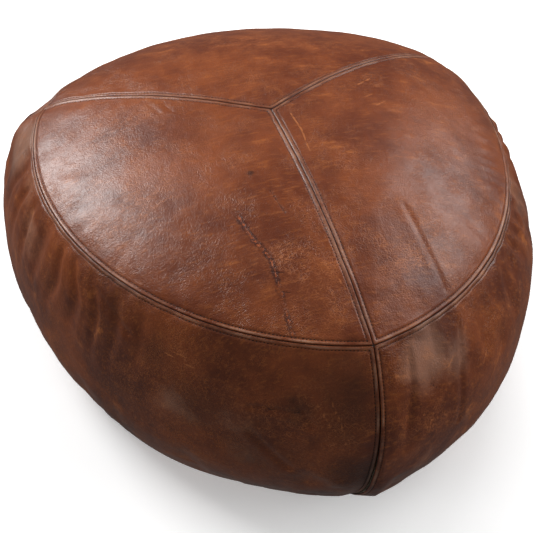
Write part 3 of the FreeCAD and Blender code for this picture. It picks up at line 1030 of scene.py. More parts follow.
def leather_finish(name, light, dark, amber, seed, wear=1.0, marked=True):
    """Waxed brown leather: clouded colour, rubbed amber, crinkles, grain, painted seam shadows, a painted
    sheen on the seam ridges and in pale patches, and dark patches that are partly stains and partly
    painted shade.
    """
    f = Finish(name)
    place = f.node("ShaderNodeVectorMath", {"operation": "ADD"},
                   {0: f.place(), 1: (seed * 1.7, seed * 0.9, seed * 2.3)})
    cloud = f.noise(place, 8.5, 3.0, 0.55)
    patch = f.noise(place, 30.0, 4.0, 0.6, 0.4)
    fleck = f.noise(place, 150.0, 4.0, 0.65)
    pore = f.noise(place, 460.0, 3.0, 0.7)
    dust = f.noise(place, 900.0, 2.0, 0.6)
    tone = f.band(cloud * 0.6 + patch * 0.4, 0.36, 0.64)
    base = f.mix(tone, dark, light)
    base = f.mix(f.band(fleck, 0.4, 0.75) * 0.2, base, dark)

    fibre = f.noise(f.turned(place, (0.0, 0.0, 0.9), (60.0, 420.0, 200.0)), 1.0, 3.0, 0.6)
    streak = f.noise(f.turned(place, (0.0, 0.0, 0.9), (26.0, 150.0, 60.0)), 1.0, 3.0, 0.6)
    rub = f.band(patch, 0.52, 0.72) * f.band(streak, 0.48, 0.68)
    base = f.mix(rub * 0.45 * wear, base, amber)
    base = f.mix(f.band(fibre, 0.5, 0.75) * 0.26, base, amber)
    base = f.mix(f.band(pore, 0.5, 0.72) * 0.42, base, dark)
    base = f.mix(f.band(dust, 0.52, 0.75) * 0.3, base, dark)

    worn = f.band(f.noise(place, 22.0, 3.0, 0.6), 0.44, 0.62)
    wrinkled = f.node("ShaderNodeVectorMath", {"operation": "MULTIPLY_ADD"},
                      {0: warp_vector(f, place), 1: (0.012, 0.012, 0.012), 2: place})
    lines = f.cells(f.turned(wrinkled, (0.0, 0.0, 0.7), (0.7, 1.25, 1.0)), 330.0, "DISTANCE_TO_EDGE")
    crease = 1.0 - f.band(lines, 0.0, 0.2)
    thin = 1.0 - f.band(lines, 0.0, 0.1)
    base = f.mix(crease * worn * f.band(fleck, 0.4, 0.6) * 0.2 * wear, base, amber)
    crackle = f.value("crackle") * f.band(patch, 0.36, 0.56)
    base = f.mix(thin * crackle * f.band(fleck, 0.35, 0.55) * 0.6, base, shade(190, 118, 74))
    # The spots darken the leather: partly real dark blotches, partly painted shade over the front-left of
    # the side, which faces away from the lamps.
    stain_and_shade = f.value("stain_and_shade") + (patch - 0.5) * 0.9
    base = f.mix(f.band(stain_and_shade, 0.3, 1.0) * 0.7, base, shade(38, 17, 12))
    # Painted sheen: the spots lighten the leather to a pale grey, standing in for highlights.
    painted_sheen = f.value("painted_sheen") + (patch - 0.5) * 0.8
    base = f.mix(f.band(painted_sheen, 0.3, 0.9) * 0.38, base, shade(168, 132, 112))

    rough = 0.35 + (fleck - 0.5) * 0.2 + (pore - 0.5) * 0.16 + worn * 0.05
    grain = f.cells(place, 620.0)
    normal = f.bump(patch, 0.0016, 0.5)
    normal = f.bump(1.0 - crease * (0.25 + worn * 0.75), 0.0003, 0.62, normal)
    normal = f.bump(fibre, 0.0004, 0.25, normal)
    normal = f.bump(fleck, 0.0011, 0.3, normal)
    normal = f.bump(grain * 0.6 + pore * 0.6, 0.0004, 0.6, normal)
    if marked:
        base, dull, dents = seams_and_marks(f, place, base, patch, fleck)
        rough = rough + dull
        normal = f.bump(dents, 0.0004, 0.5, normal)
    return f.surface({
        "Base Color": base, "Roughness": rough, "Normal": normal, "IOR": 1.5,
        "Coat Weight": 0.2, "Coat Roughness": 0.3,
    })


def seams_and_marks(f, place, base, patch, fleck):
    """Painted shade in the seam grooves and stitch valleys, a painted sheen on the folded ridges that is
    partly also rubbed wear, the long scar, scratches and cracks, from values kept on the panels.
    """
    seam = f.value("seam")
    rough_seam = seam + (fleck - 0.5) * 1.4
    groove = 1.0 - f.band(seam, 0.2, 0.95)
    valley = f.band(seam, 4.6, 5.3) * (1.0 - f.band(seam, 5.6, 6.5))
    ridge_sheen = f.band(rough_seam, 1.2, 2.0) * (1.0 - f.band(rough_seam, 3.0, 4.4))
    # A near-black colour for the painted shade in the seam's central groove and its stitch valleys.
    seam_shade = shade(24, 12, 9)
    # Painted sheen on the folded ridges beside the groove, partly also pale rubbed wear on their edges.
    base = f.mix(ridge_sheen * f.band(patch, 0.35, 0.65) * 0.4, base, shade(170, 138, 116))
    # Painted shade: the stitch valley and the central groove are darkened where shade falls in them.
    base = f.mix(valley * 0.1, base, seam_shade)
    base = f.mix(groove * 0.9, base, seam_shade)

    wander = (f.noise(place, 190.0, 4.0, 0.75) - 0.5) * 9.0
    broken = f.band(f.noise(place, 75.0, 2.0, 0.5), 0.36, 0.56)
    scar = f.value("scar") + wander
    edge = f.band(scar, 0.2, 1.4) * (1.0 - f.band(scar, 1.8, 4.6))
    core = 1.0 - f.band(scar, 0.0, 1.6)
    base = f.mix(edge * broken * 0.75, base, shade(48, 20, 18))
    base = f.mix(core * broken * 0.5, base, shade(186, 92, 40))
    scratch = f.value("scratch") + wander * 0.15
    scratched = (1.0 - f.band(scratch, 0.2, 1.5)) * f.band(fleck, 0.34, 0.52)
    base = f.mix(scratched * 0.45, base, shade(200, 124, 70))
    crack = f.value("crack") + wander * 0.2
    cracked = 1.0 - f.band(crack, 0.1, 1.4)
    base = f.mix(cracked * broken * 0.7, base, shade(34, 14, 12))
    dents = f.band(scar, 0.0, 2.4) + f.band(crack, 0.0, 1.6)
    return base, groove * 0.25 + valley * 0.15, dents


def warp_vector(f, place):
    """Noise in three directions, for bending a pattern."""
    return f.node("ShaderNodeTexNoise", None,
                  {"Vector": place, "Scale": 85.0, "Detail": 2.0}, "Color")


def thread_finish(name, colour):
    """Waxed thread with a fine twist."""
    f = Finish(name)
    place = f.place()
    twist = f.noise(place, 1900.0, 2.0, 0.6)
    base = f.mix(twist, colour, tuple(0.45 * c for c in colour[:3]) + (1.0,))
    normal = f.bump(twist, 0.00015, 0.6)
    return f.surface({"Base Color": base, "Roughness": 0.5 + (twist - 0.5) * 0.2, "Normal": normal})


def woven_finish(name, colour, pitch, soil):
    """Plain woven cotton."""
    f = Finish(name)
    place = f.place()
    weft, warp = (
        f.node("ShaderNodeTexWave", {"wave_type": "BANDS", "bands_direction": axis},
               {"Vector": place, "Scale": 0.31 / pitch, "Distortion": 1.5, "Detail": 1.0,
                "Detail Scale": 2.0}, "Fac")
        for axis in "XY")
    cloud = f.noise(place, 14.0, 4.0, 0.6)
    slub = f.noise(place, 240.0, 3.0, 0.6)
    weave = weft * 0.5 + warp * 0.5
    base = f.mix(cloud * 0.5, colour, soil)
    base = f.mix((1.0 - weave) * 0.4, base, soil)
    base = f.mix(f.band(slub, 0.5, 0.8) * 0.25, base, soil)
    normal = f.bump(weave, 0.0003, 0.7)
    return f.surface({
        "Base Color": base, "Roughness": 0.86 + (slub - 0.5) * 0.1, "Normal": normal,
        "Sheen Weight": 0.15, "Sheen Roughness": 0.5,
    })


def fleece_finish(name, colour, shadow, scale):
    """Loose fibre: filling and wadding."""
    f = Finish(name)
    place = f.place()
    tuft = f.noise(place, scale, 5.0, 0.7, 0.6)
    strand = f.noise(f.turned(place, (0.4, 0.2, 0.6), (1.0, 4.0, 1.0)), scale * 5.0, 4.0, 0.7, 1.0)
    base = f.mix(f.band(tuft, 0.35, 0.7), shadow, colour)
    base = f.mix(f.band(strand, 0.45, 0.7) * 0.3, base, shadow)
    normal = f.bump(tuft, 0.004, 0.6)
    normal = f.bump(strand, 0.001, 0.5, normal)
    return f.surface({"Base Color": base, "Roughness": 0.95 - tuft * 0.1, "Normal": normal})


def brass_finish(name, colour):
    """Aged zip brass, brighter where it rubs."""
    f = Finish(name)
    place = f.place()
    cloud = f.noise(place, 160.0, 4.0, 0.6)
    scuff = f.noise(f.turned(place, (0.0, 0.0, 0.3), (1.0, 7.0, 7.0)), 420.0, 3.0, 0.6)
    base = f.mix(f.band(cloud, 0.4, 0.7) * 0.6, colour, shade(92, 66, 34))
    normal = f.bump(scuff, 0.0001, 0.4)
    return f.surface({"Base Color": base, "Metallic": 0.95,
                      "Roughness": 0.3 + cloud * 0.18, "Normal": normal})


def opaque(colour, share=1.0):
    """A colour setting as the shaders take it, made lighter or darker by a share."""
    return tuple(share * value for value in colour[:3]) + (1.0,)


@lru_cache(maxsize=None)
def material(name):
    """One of the pouf's materials, made once."""
    c = bpy.context.scene.pouf_colours
    light = opaque(c.leather_light)
    dark = opaque(c.leather_dark)
    amber = opaque(c.leather_amber)
    deeper = opaque(c.leather_light, 1.02)
    umber = opaque(c.leather_dark, 0.78)
    makers = {
        "Top Leather": lambda: leather_finish("Top Leather", light, dark, amber, 1.0),
        "Side Leather": lambda: leather_finish("Side Leather", deeper, umber, amber, 4.0, 1.15),
        "Base Leather": lambda: leather_finish("Base Leather", deeper, dark, amber, 7.0, 0.4),
        "Plain Leather": lambda: leather_finish("Plain Leather", deeper, dark, amber, 9.0, 0.3, False),
        "Thread": lambda: thread_finish("Waxed Thread", opaque(c.thread)),
        "Seam Tape": lambda: woven_finish(
            "Seam Tape", opaque(c.cotton), 0.6 * MM, shade(150, 128, 98)),
        "Liner": lambda: woven_finish(
            "Liner Cotton", opaque(c.cotton), 0.8 * MM, shade(168, 150, 120)),
        "Zip Tape": lambda: woven_finish(
            "Zip Tape", shade(74, 50, 38), 0.7 * MM, shade(40, 26, 20)),
        "Brass": lambda: brass_finish("Zip Brass", opaque(c.brass)),
        "Filling": lambda: fleece_finish("Filling", shade(206, 198, 184), shade(140, 128, 110), 70.0),
        "Wadding": lambda: fleece_finish("Wadding", shade(232, 229, 222), shade(176, 170, 160), 45.0),
    }
    return makers[name]()


# ---- inner layers ----------------------------------------------------------------------------

LATTICE_TOP = np.concatenate([np.linspace(1.0, 0.1, 26), [0.055, 0.02, 0.0]])
LATTICE_SIDE = np.concatenate([[0.0, 0.02], np.linspace(0.055, 1.0, 24)])
LATTICE_ACROSS = np.concatenate([[0.0, 0.025], np.linspace(0.06, 0.94, 26), [0.975, 1.0]])
ZIP_Y = 60.0 * MM
SLOT_HALF = 9.0 * MM
CHANNEL_HALF = 30.5 * MM
PARTING_HEIGHT = 283.8 * MM
BASE_GAP = 0.8 * MM
FOLD_ROOM = 3.4 * MM
TAPE_DEPTH = 1.95 * MM
TAPE_CLEAR = 9.8 * MM
BAG_DEPTH = 3.1 * MM
BAG_OVER_ZIP = 9.8 * MM


def resampled(cut, key, shares, across):
    """Values of a sewn panel on an even lattice."""
    levels = cut["share"][:, 0]
    shares = np.clip(shares, levels.min(), levels.max())
    rows = np.array([
        [np.interp(across, cut["across"][j], cut[key][j, :, k]) for k in range(3)]
        for j in range(len(levels))
    ])
    order = np.argsort(levels)
    spread = rows.reshape(len(levels), -1)[order]
    out = np.array([np.interp(shares, levels[order], spread[:, c]) for c in range(spread.shape[1])])
    return out.T.reshape(len(shares), 3, len(across)).transpose(0, 2, 1)


def inner_skin(kind, name, depth):
    """A light copy of a panel, moved inwards."""
    cut = sewn(kind, name)
    shares = LATTICE_TOP if kind == "top" else LATTICE_SIDE
    place = resampled(cut, "place", shares, LATTICE_ACROSS)
    lean = unit(resampled(cut, "lean", shares, LATTICE_ACROSS))
    if kind == "side":
        depth = depth + FOLD_ROOM * bell(shares, 0.2, 0.22)[:, None, None]
    return place - lean * depth


def skins_object(name, kinds, depth, disc=None):
    """Inner skins of the named kinds, joined and welded, closed below by a disc if one is given."""
    points = []
    faces = []
    count = 0
    for kind in kinds:
        for panel_name in PANEL_START:
            skin = inner_skin(kind, panel_name, depth)
            rows, columns = skin.shape[:2]
            faces += grid_faces(rows, columns, kind == "side", count)
            points.append(skin.reshape(-1, 3))
            count += rows * columns
    if disc is not None:
        ring_points, ring_faces = disc
        faces += [tuple(count + i for i in face) for face in ring_faces]
        points.append(ring_points)
    made = make_object(name, np.concatenate(points), faces)
    weld(made, 0.25 * MM)
    return made


def weld(piece, distance):
    """Merges the points where neighbouring skins meet."""
    shape = bmesh.new()
    shape.from_mesh(piece.data)
    bmesh.ops.remove_doubles(shape, verts=shape.verts, dist=distance)
    shape.to_mesh(piece.data)
    shape.free()
    piece.data.polygons.foreach_set("use_smooth", [True] * len(piece.data.polygons))


def foot_disc(depth, height):
    """Points and faces that close the foot of an inner skin and rise over the zip."""
    ring = []
    for panel_name in ("right", "rear", "left"):
        skin = inner_skin("side", panel_name, depth)
        ring.append(skin[-1, :-1])
    ring = np.concatenate(ring)
    count = len(ring)
    floor = float(ring[:, 2].min())
    shares = np.concatenate([[1.0, 0.985], np.linspace(0.96, 0.04, 34)])
    rows = []
    for share in shares:
        row = ring * np.array([share, share, 1.0])
        over = 1.0 - step_up(np.abs(row[:, 1] - ZIP_Y), CHANNEL_HALF, CHANNEL_HALF + 7 * MM)
        if share < 1.0:
            row[:, 2] = floor + (height - floor) * over * step_up(1.0 - share, 0.0, 0.03)
        rows.append(row)
    middle = np.array([[0.0, 0.0, floor]])
    points = np.concatenate(rows + [middle])
    faces = []
    for j in range(len(rows) - 1):
        for i in range(count):
            a = j * count + i
            b = j * count + (i + 1) % count
            faces.append((a, a + count, b + count, b))
    last = (len(rows) - 1) * count
    pole = len(points) - 1
    faces += [(last + i, pole, last + (i + 1) % count) for i in range(count)]
    return points, faces


def cut_level(piece, height, keep_above):
    """Keeps the part of a closed body above or below a level, and closes the cut."""
    shape = bmesh.new()
    shape.from_mesh(piece.data)
    everything = shape.verts[:] + shape.edges[:] + shape.faces[:]
    done = bmesh.ops.bisect_plane(
        shape, geom=everything, plane_co=(0, 0, height), plane_no=(0, 0, 1),
        clear_inner=keep_above, clear_outer=not keep_above)
    rim = [e for e in done["geom_cut"] if isinstance(e, bmesh.types.BMEdge)]
    bmesh.ops.triangle_fill(shape, use_beauty=True, use_dissolve=False, edges=rim)
    bmesh.ops.recalc_face_normals(shape, faces=shape.faces)
    shape.to_mesh(piece.data)
    shape.free()


def loosen(piece, size, amount, seed):
    """Pushes the surface of loose filling in and out, inwards only."""
    mesh = piece.data
    count = len(mesh.vertices)
    place = np.zeros(count * 3)
    lean = np.zeros(count * 3)
    mesh.vertices.foreach_get("co", place)
    mesh.vertices.foreach_get("normal", lean)
    place = place.reshape(-1, 3)
    lump = 0.5 + 0.5 * soft_noise(place, size, seed)
    place = place - lean.reshape(-1, 3) * (amount * lump)[:, None]
    mesh.vertices.foreach_set("co", place.ravel())
    mesh.update()


def tape_strip(cut, edge):
    """Rows of a seam tape behind one side of a seam."""
    place = cut["place"] - cut["lean"] * TAPE_DEPTH
    if edge == "crown":
        rows = slice(2, 15)
        clear = np.minimum(cut["start"][8], cut["end"][8]) > TAPE_CLEAR
        return place[rows][:, clear]
    columns = slice(2, 15)
    column = 8 if edge == "start" else -9
    gap = cut["crown"][:, column]
    other = cut["end" if edge == "start" else "start"][:, column]
    clear = (gap > TAPE_CLEAR) & (other > 16 * MM)
    if cut["kind"] == "side":
        clear &= place[:, 0, 2] > 6 * MM
    part = place[clear]
    if edge == "end":
        return part[:, ::-1][:, columns][:, ::-1]
    return part[:, columns]


def tape_object(name, strips):
    """One seam tape from its strips; each strip says whether it lies on the side."""
    points = []
    faces = []
    count = 0
    for strip, turned in strips:
        rows, columns = strip.shape[:2]
        faces += grid_faces(rows, columns, turned, count)
        points.append(strip.reshape(-1, 3))
        count += rows * columns
    return make_object(name, np.concatenate(points), faces)


# ---- base --------------------------------------------------------------------------------------


def foot_reach(inset):
    """Chains of x over y for the right and the left of the foot outline."""
    angles = np.linspace(-90.0, 90.0, 721)
    right = UNIT * three_arcs(angles, FOOT) - inset
    left_angles = 180.0 - angles
    left = UNIT * three_arcs(left_angles, FOOT) - inset
    y_right = right * np.sin(np.radians(angles))
    y_left = left * np.sin(np.radians(left_angles))
    x_right = right * np.cos(np.radians(angles))
    x_left = left * np.cos(np.radians(left_angles))
    return (y_right, x_right), (y_left, x_left)


def base_panel(name, low, high, open_side):
    """One half of the leather base; open_side is its edge beside the zip."""
    right, left = foot_reach(FOOT_TURN + BASE_GAP)
    low = max(low, float(max(right[0].min(), left[0].min())) + 0.4 * MM)
    high = min(high, float(min(right[0].max(), left[0].max())) - 0.4 * MM)
    near = 0.9 * NEAR_SEAM
    count = int((high - low) / (5 * MM))
    ys = np.concatenate([low + near, np.linspace(low + near[-1], high - near[-1], count)[1:-1],
                         high - near[::-1]])
    rows = []
    gaps = []
    for y in ys:
        x0 = float(np.interp(y, left[0], left[1]))
        x1 = float(np.interp(y, right[0], right[1]))
        xs = x0 + stations(x1 - x0, 90)
        rows.append(np.stack([xs, np.full_like(xs, y), 0 * xs], -1))
        bearing = np.degrees(np.arctan2(y, xs))
        rim = UNIT * three_arcs(bearing, FOOT) - FOOT_TURN - BASE_GAP
        gaps.append((rim - np.hypot(xs, y)) / MM)
    place = np.array(rows)
    rim_gap = np.maximum(np.array(gaps), 0.0)
    slot_gap = np.abs(place[..., 1] - open_side) / MM
    gap = np.minimum(rim_gap, slot_gap)
    lift = 0.9 * bell(gap, 5.5, 1.5) + 0.5 * bell(gap, 0.0, 1.2)
    lift += 0.5 * (0.5 + 0.5 * soft_noise(place, 70 * MM, 31)) * step_up(gap, 6, 30)
    place[..., 2] = MM * lift
    far = np.full(gap.shape, 40.0)
    values = {"seam": np.where(gap < 9.0, gap + 0.8, gap), "scar": far, "scratch": far, "crack": far}
    rows_count, columns = place.shape[:2]
    faces = grid_faces(rows_count, columns, turned=True)
    return make_object(name, place.reshape(-1, 3), faces, values)


def base_stitch_rows():
    """Stitch rows round the foot and along both edges of the zip opening."""
    rows = []
    down = np.array([0.0, 0.0, -1.0])
    inset = FOOT_TURN + BASE_GAP + ROW_OFFSET
    for start, stop in ((-90.0, 30.0), (30.0, 150.0), (150.0, 270.0)):
        angles = np.linspace(start, stop, 300)
        reach = UNIT * three_arcs(angles, FOOT) - inset
        x = reach * np.cos(np.radians(angles))
        y = reach * np.sin(np.radians(angles))
        clear = np.abs(y - ZIP_Y) > SLOT_HALF + ROW_OFFSET
        line = np.stack([x, y, np.full_like(x, 0.75 * MM)], -1)
        pieces = np.split(np.arange(300), np.where(np.diff(clear.astype(int)) != 0)[0] + 1)
        for piece in pieces:
            if clear[piece[0]] and len(piece) > 3:
                rows.append((line[piece], np.repeat(down[None], len(piece), 0)))
    for side in (-1, 1):
        y = ZIP_Y + side * (SLOT_HALF + ROW_OFFSET)
        x = np.linspace(-240 * MM, 240 * MM, 120)
        line = np.stack([x, np.full_like(x, y), np.full_like(x, 0.75 * MM)], -1)
        rows.append((line, np.repeat(down[None], 120, 0)))
    return rows


# ---- operators --------------------------------------------------------------------------------


def a_length(label, about, value, low, high):
    """A length setting, its numbers in millimetres."""
    return bpy.props.FloatProperty(
        name=label, description=about, default=value * MM, min=low * MM, max=high * MM,
        unit="LENGTH", precision=4)


def a_colour(label, about, *display):
    """A colour setting, its default given from 0 to 255."""
    return bpy.props.FloatVectorProperty(
        name=label, description=about, subtype="COLOR", size=3, min=0.0, max=1.0,
        default=shade(*display)[:3])


class PoufSizes(bpy.types.PropertyGroup):
    """Sizes of the sewing."""

    leather: a_length("Leather", "Thickness of the leather", 1.6, 0.5, 4)
    stitch_pitch: a_length("Stitch Pitch", "From one stitch to the next", 3.7, 1.5, 10)
    stitch_length: a_length("Stitch Length", "Thread that shows in each stitch", 2.2, 0.5, 8)
    stitch_width: a_length("Thread Width", "Width of the thread", 0.85, 0.2, 3)
    tooth_pitch: a_length("Tooth Pitch", "From one zip tooth to the next", 4.0, 1, 10)


class PoufColours(bpy.types.PropertyGroup):
    """Colours of the leather, thread, cotton and brass."""

    leather_light: a_colour("Leather Light", "Red-brown of the worn leather", 127, 63, 28)
    leather_dark: a_colour("Leather Dark", "Umber of the darker clouds", 92, 40, 18)
    leather_amber: a_colour("Leather Amber", "Amber where the finish is rubbed off", 184, 108, 50)
    thread: a_colour("Thread", "Waxed sewing thread", 18, 11, 9)
    cotton: a_colour("Cotton", "Inner bag and seam tapes", 206, 196, 174)
    brass: a_colour("Brass", "Zip teeth, slider and pull", 178, 140, 78)


class POUF_OT_top_leather(bpy.types.Operator):
    """Make the three leather panels of the domed top"""

    bl_idname = "pouf.top_leather"
    bl_label = "Top Leather"

    def execute(self, context):
        for name in PANEL_START:
            piece = leather_panel("top", name)
            thicken(piece, context.scene.pouf_sizes.leather)
            finished(piece, "cover", "top_leather", material("Top Leather"), "top_panel_" + name)
        return {"FINISHED"}


class POUF_OT_side_leather(bpy.types.Operator):
    """Make the three leather panels of the side"""

    bl_idname = "pouf.side_leather"
    bl_label = "Side Leather"

    def execute(self, context):
        for name in PANEL_START:
            piece = leather_panel("side", name)
            thicken(piece, context.scene.pouf_sizes.leather)
            finished(piece, "cover", "side_leather", material("Side Leather"), "side_panel_" + name)
        return {"FINISHED"}


class POUF_OT_stitches(bpy.types.Operator):
    """Sew the stitch rows along the top, side and crown seams"""

    bl_idname = "pouf.stitches"
    bl_label = "Stitches"

    def execute(self, context):
        sizes = context.scene.pouf_sizes
        tree = stitch_pattern()
        rows = {}
        for corner in ("front", "right", "left"):
            for kind in ("top", "side"):
                after = sewn(kind, PANEL_AFTER[corner])
                before = sewn(kind, PANEL_BEFORE[corner])
                rows["%s_seam_thread_%s" % (kind, corner)] = [
                    row_beside_seam(after, "start", ROW_OFFSET),
                    row_beside_seam(before, "end", ROW_OFFSET),
                ]
        rows["crown_thread_upper"] = [row_beside_crown(sewn("top", n), ROW_OFFSET) for n in PANEL_START]
        rows["crown_thread_lower"] = [row_beside_crown(sewn("side", n), ROW_OFFSET) for n in PANEL_START]
        for node, lines in rows.items():
            guide = guide_lines(node.replace("thread", "stitches"), lines)
            values = {
                "Stitch Pitch": sizes.stitch_pitch,
                "Stitch Length": sizes.stitch_length,
                "Stitch Width": sizes.stitch_width,
                "Thread": material("Thread"),
            }
            finished(grown(guide, tree, values), "cover", "thread", None, node)
        return {"FINISHED"}


class POUF_OT_base_leather(bpy.types.Operator):
    """Make the two leather halves of the base and give the zip's facings and end tabs their leather"""

    bl_idname = "pouf.base_leather"
    bl_label = "Base Leather"

    def execute(self, context):
        leather = material("Base Leather")
        far = 0.4
        halves = (("front", -far, ZIP_Y - SLOT_HALF, ZIP_Y - SLOT_HALF, 0.55, 0.34),
                  ("rear", ZIP_Y + SLOT_HALF, far, ZIP_Y + SLOT_HALF, 0.52, 0.22))
        for name, low, high, open_side, wide, long in halves:
            piece = base_panel("leather_base_" + name, low, high, open_side)
            thicken(piece, context.scene.pouf_sizes.leather)
            finished(piece, "cover", "base_leather", leather, "base_panel_" + name)
        for node in ("zip_end_tab_left", "zip_end_tab_right", "zip_facing_front", "zip_facing_rear"):
            dress(node, material("Plain Leather"))
        guide = guide_lines("base_stitches", base_stitch_rows())
        values = {"Thread": material("Thread"), "Stitch Pitch": context.scene.pouf_sizes.stitch_pitch}
        finished(grown(guide, stitch_pattern(), values), "cover", "thread", None)
        return {"FINISHED"}


class POUF_OT_seam_tapes(bpy.types.Operator):
    """Lay the cotton tapes behind the top, side and crown seams"""

    bl_idname = "pouf.seam_tapes"
    bl_label = "Seam Tapes"

    def execute(self, context):
        made = {}
        for corner in ("front", "right", "left"):
            for kind in ("top", "side"):
                turned = kind == "side"
                after = sewn(kind, PANEL_AFTER[corner])
                before = sewn(kind, PANEL_BEFORE[corner])
                made["%s_seam_tape_%s" % (kind, corner)] = [
                    (tape_strip(after, "start"), turned), (tape_strip(before, "end"), turned)]
        crown = []
        for name in PANEL_START:
            crown.append((tape_strip(sewn("top", name), "crown"), False))
            crown.append((tape_strip(sewn("side", name), "crown"), True))
        made["crown_seam_tape"] = crown
        for node, strips in made.items():
            piece = tape_object(node.replace("seam_tape", "tape"), strips)
            thicken(piece, 0.4 * MM)
            finished(piece, "cover", "seam_tape", material("Seam Tape"), node)
        return {"FINISHED"}


class POUF_OT_inner_bag(bpy.types.Operator):
    """Make the cotton inner bag: its top, its band and its base"""

    bl_idname = "pouf.inner_bag"
    bl_label = "Inner Bag"

    def execute(self, context):
        top = skins_object("bag_top", ("top",), BAG_DEPTH)
        band = skins_object("bag_band", ("side",), BAG_DEPTH)
        points, faces = foot_disc(BAG_DEPTH, BAG_OVER_ZIP)
        base = make_object("bag_base", points, faces)
        cuts = (
            (top, "liner_top", 0.58, 0.59), (band, "liner_band", 2.1, 0.3),
            (base, "liner_base", 0.57, 0.57),
        )
        for piece, node, width, length in cuts:
            thicken(piece, 0.6 * MM)
            finished(piece, "cover", "liner_cotton", material("Liner"), node)
        return {"FINISHED"}


class POUF_OT_filling(bpy.types.Operator):
    """Fill the bag: a firm core and a softer wadding over it"""

    bl_idname = "pouf.filling"
    bl_label = "Filling"

    def execute(self, context):
        depth = 4.6 * MM
        parts = (("stuffing_core", False, PARTING_HEIGHT - 0.15 * MM, "core_filling", "filling", 0.9),
                 ("stuffing_wadding", True, PARTING_HEIGHT + 0.15 * MM, "top_wadding", "wadding", 0.7))
        for name, above, level, node, slot, fill in parts:
            piece = skins_object(name, ("top", "side"), depth, foot_disc(depth, 11.2 * MM))
            loosen(piece, 30 * MM, 1.6 * MM, 41)
            cut_level(piece, level, above)
            look = material("Wadding" if above else "Filling")
            finished(piece, "cover", slot, look, node)
        return {"FINISHED"}


class POUF_OT_zip(bpy.types.Operator):
    """Make the zip's teeth and finish its tapes, slider, pull and stops"""

    bl_idname = "pouf.zip"
    bl_label = "Zip"

    def execute(self, context):
        tree = tooth_pattern()
        pitch = context.scene.pouf_sizes.tooth_pitch
        for name, side, shift in (("front", -1.0, 0.0), ("rear", 1.0, 0.5 * pitch)):
            y = ZIP_Y + side * 0.25 * MM
            ends = [(-203.0 * MM + shift, y, 5.9 * MM), (208.0 * MM + shift, y, 5.9 * MM)]
            facing = np.array([[0.0, -side, 0.0]] * 2)
            guide = guide_lines("brass_teeth_" + name, [(np.array(ends), facing)])
            values = {"Tooth Pitch": pitch, "Metal": material("Brass")}
            finished(grown(guide, tree, values), "cover", "zip_brass", None, "zip_teeth_" + name)
        for node in ("zip_slider", "zip_pull", "zip_top_stops", "zip_bottom_stop"):
            dress(node, material("Brass"))
        for node in ("zip_tape_front", "zip_tape_rear"):
            dress(node, material("Zip Tape"))
        return {"FINISHED"}


class POUF_OT_stage(bpy.types.Operator):
    """Set up the pale floor, the soft lights and the camera"""

    bl_idname = "pouf.stage"
    bl_label = "Stage"

    def execute(self, context):
        lay_floor()
        hang_lights()
        set_camera()
        return {"FINISHED"}


class POUF_PT_panel(bpy.types.Panel):
    """Sizes, colours and steps of the pouf"""

    bl_idname = "POUF_PT_panel"
    bl_label = "Leather Pouf"
    bl_space_type = "VIEW_3D"
    bl_region_type = "UI"
    bl_category = "Pouf"

    def draw(self, context):
        layout = self.layout
        for group in (context.scene.pouf_sizes, context.scene.pouf_colours):
            box = layout.box()
            for key in group.__annotations__:
                box.prop(group, key)
        for step in STEPS:
            layout.operator(step.bl_idname)


# ---- stage ------------------------------------------------------------------------------------


def lay_floor():
    """A plain pale floor. It takes the pouf's shadow but throws no light back."""
    half = 25.0
    floor = make_object("studio_floor", [(-half, -half, -0.0004), (half, -half, -0.0004),
                                         (half, half, -0.0004), (-half, half, -0.0004)],
                        [(0, 1, 2, 3)])
    f = Finish("Studio Floor")
    paper = f.noise(f.place(), 40.0, 2.0, 0.5)
    tint = f.mix(paper, (0.93, 0.93, 0.93, 1.0), (0.95, 0.95, 0.95, 1.0))
    floor.data.materials.append(f.surface({
        "Base Color": tint, "Roughness": 0.9, "Specular IOR Level": 0.0,
        "Emission Color": (1.0, 1.0, 1.0, 1.0), "Emission Strength": 0.27}))
    floor.visible_diffuse = False
    floor.visible_glossy = False


def soft_box(name, bearing, rise, far, wide, tall, glow, shown=True):
    """A soft light box aimed at the pouf. One that isn't shown lights it but isn't mirrored in it."""
    data = bpy.data.lights.new(name, "AREA")
    data.shape = "RECTANGLE"
    data.size = wide
    data.size_y = tall
    data.energy = glow * math.pi * wide * tall
    lamp = bpy.data.objects.new(name, data)
    a = math.radians(bearing)
    e = math.radians(rise)
    back = Vector((math.cos(a) * math.cos(e), math.sin(a) * math.cos(e), math.sin(e)))
    lamp.location = Vector((0.0, 0.0, 0.25)) + back * far
    lamp.rotation_mode = "QUATERNION"
    lamp.rotation_quaternion = back.to_track_quat("Z", "Y")
    lamp.visible_glossy = shown
    bpy.context.scene.collection.objects.link(lamp)
    return lamp


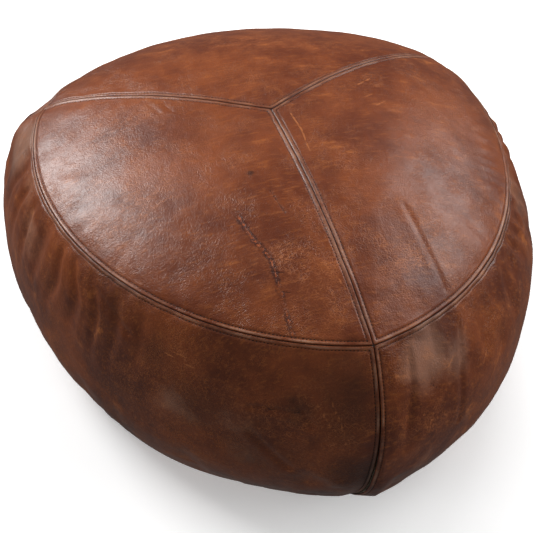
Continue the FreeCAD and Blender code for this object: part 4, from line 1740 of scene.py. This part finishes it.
def hang_lights():
    """Soft boxes behind the pouf to its left and right, plain fills and an even, dim room."""
    soft_box("left_soft_box", 131.0, 36.0, 2.6, 1.1, 1.5, 11.5)
    soft_box("right_soft_box", 10.0, 30.0, 2.6, 1.6, 1.3, 3.9)
    soft_box("rear_fill", 60.0, 38.0, 2.8, 2.0, 1.5, 5.3, False)
    soft_box("right_fill", -25.0, 14.0, 2.8, 1.6, 1.4, 5.6, False)
    soft_box("left_fill", 186.0, 14.0, 2.8, 1.6, 1.4, 3.4, False)
    soft_box("front_fill", -95.0, 22.0, 2.8, 1.8, 1.4, 0.35, False)
    soft_box("overhead_fill", -60.0, 82.0, 2.8, 2.6, 2.6, 0.5, False)
    world = bpy.data.worlds.new("Studio")
    world.use_nodes = True
    back = world.node_tree.nodes["Background"]
    back.inputs["Color"].default_value = (1.0, 1.0, 1.0, 1.0)
    back.inputs["Strength"].default_value = 0.11
    bpy.context.scene.world = world
    bpy.context.scene.view_settings.view_transform = "Standard"


def set_camera():
    """A camera that looks down at the front of the pouf."""
    data = bpy.data.cameras.new("camera")
    data.lens = 74.4
    data.sensor_width = 36.0
    data.clip_start = 0.05
    data.clip_end = 40.0
    camera = bpy.data.objects.new("camera", data)
    camera.location = Vector((-0.293, -0.934, 1.086))
    target = Vector((-0.021, 0.006, 0.070))
    camera.rotation_mode = "QUATERNION"
    camera.rotation_quaternion = (camera.location - target).to_track_quat("Z", "Y")
    bpy.context.scene.collection.objects.link(camera)
    bpy.context.scene.camera = camera


STEPS = (
    POUF_OT_top_leather, POUF_OT_side_leather, POUF_OT_base_leather, POUF_OT_stitches,
    POUF_OT_seam_tapes, POUF_OT_inner_bag, POUF_OT_filling, POUF_OT_zip, POUF_OT_stage,
)
CLASSES = (PoufSizes, PoufColours) + STEPS + (POUF_PT_panel,)


def register():
    """Adds the pouf's settings, steps and panel."""
    for each in CLASSES:
        bpy.utils.register_class(each)
    bpy.types.Scene.pouf_sizes = bpy.props.PointerProperty(type=PoufSizes)
    bpy.types.Scene.pouf_colours = bpy.props.PointerProperty(type=PoufColours)


def unregister():
    """Takes them away again."""
    del bpy.types.Scene.pouf_colours
    del bpy.types.Scene.pouf_sizes
    for each in reversed(CLASSES):
        bpy.utils.unregister_class(each)


def main():
    """Builds the whole pouf."""
    register()
    for step in STEPS:
        space, name = step.bl_idname.split(".")
        getattr(getattr(bpy.ops, space), name)()


if __name__ == "__main__":
    main()
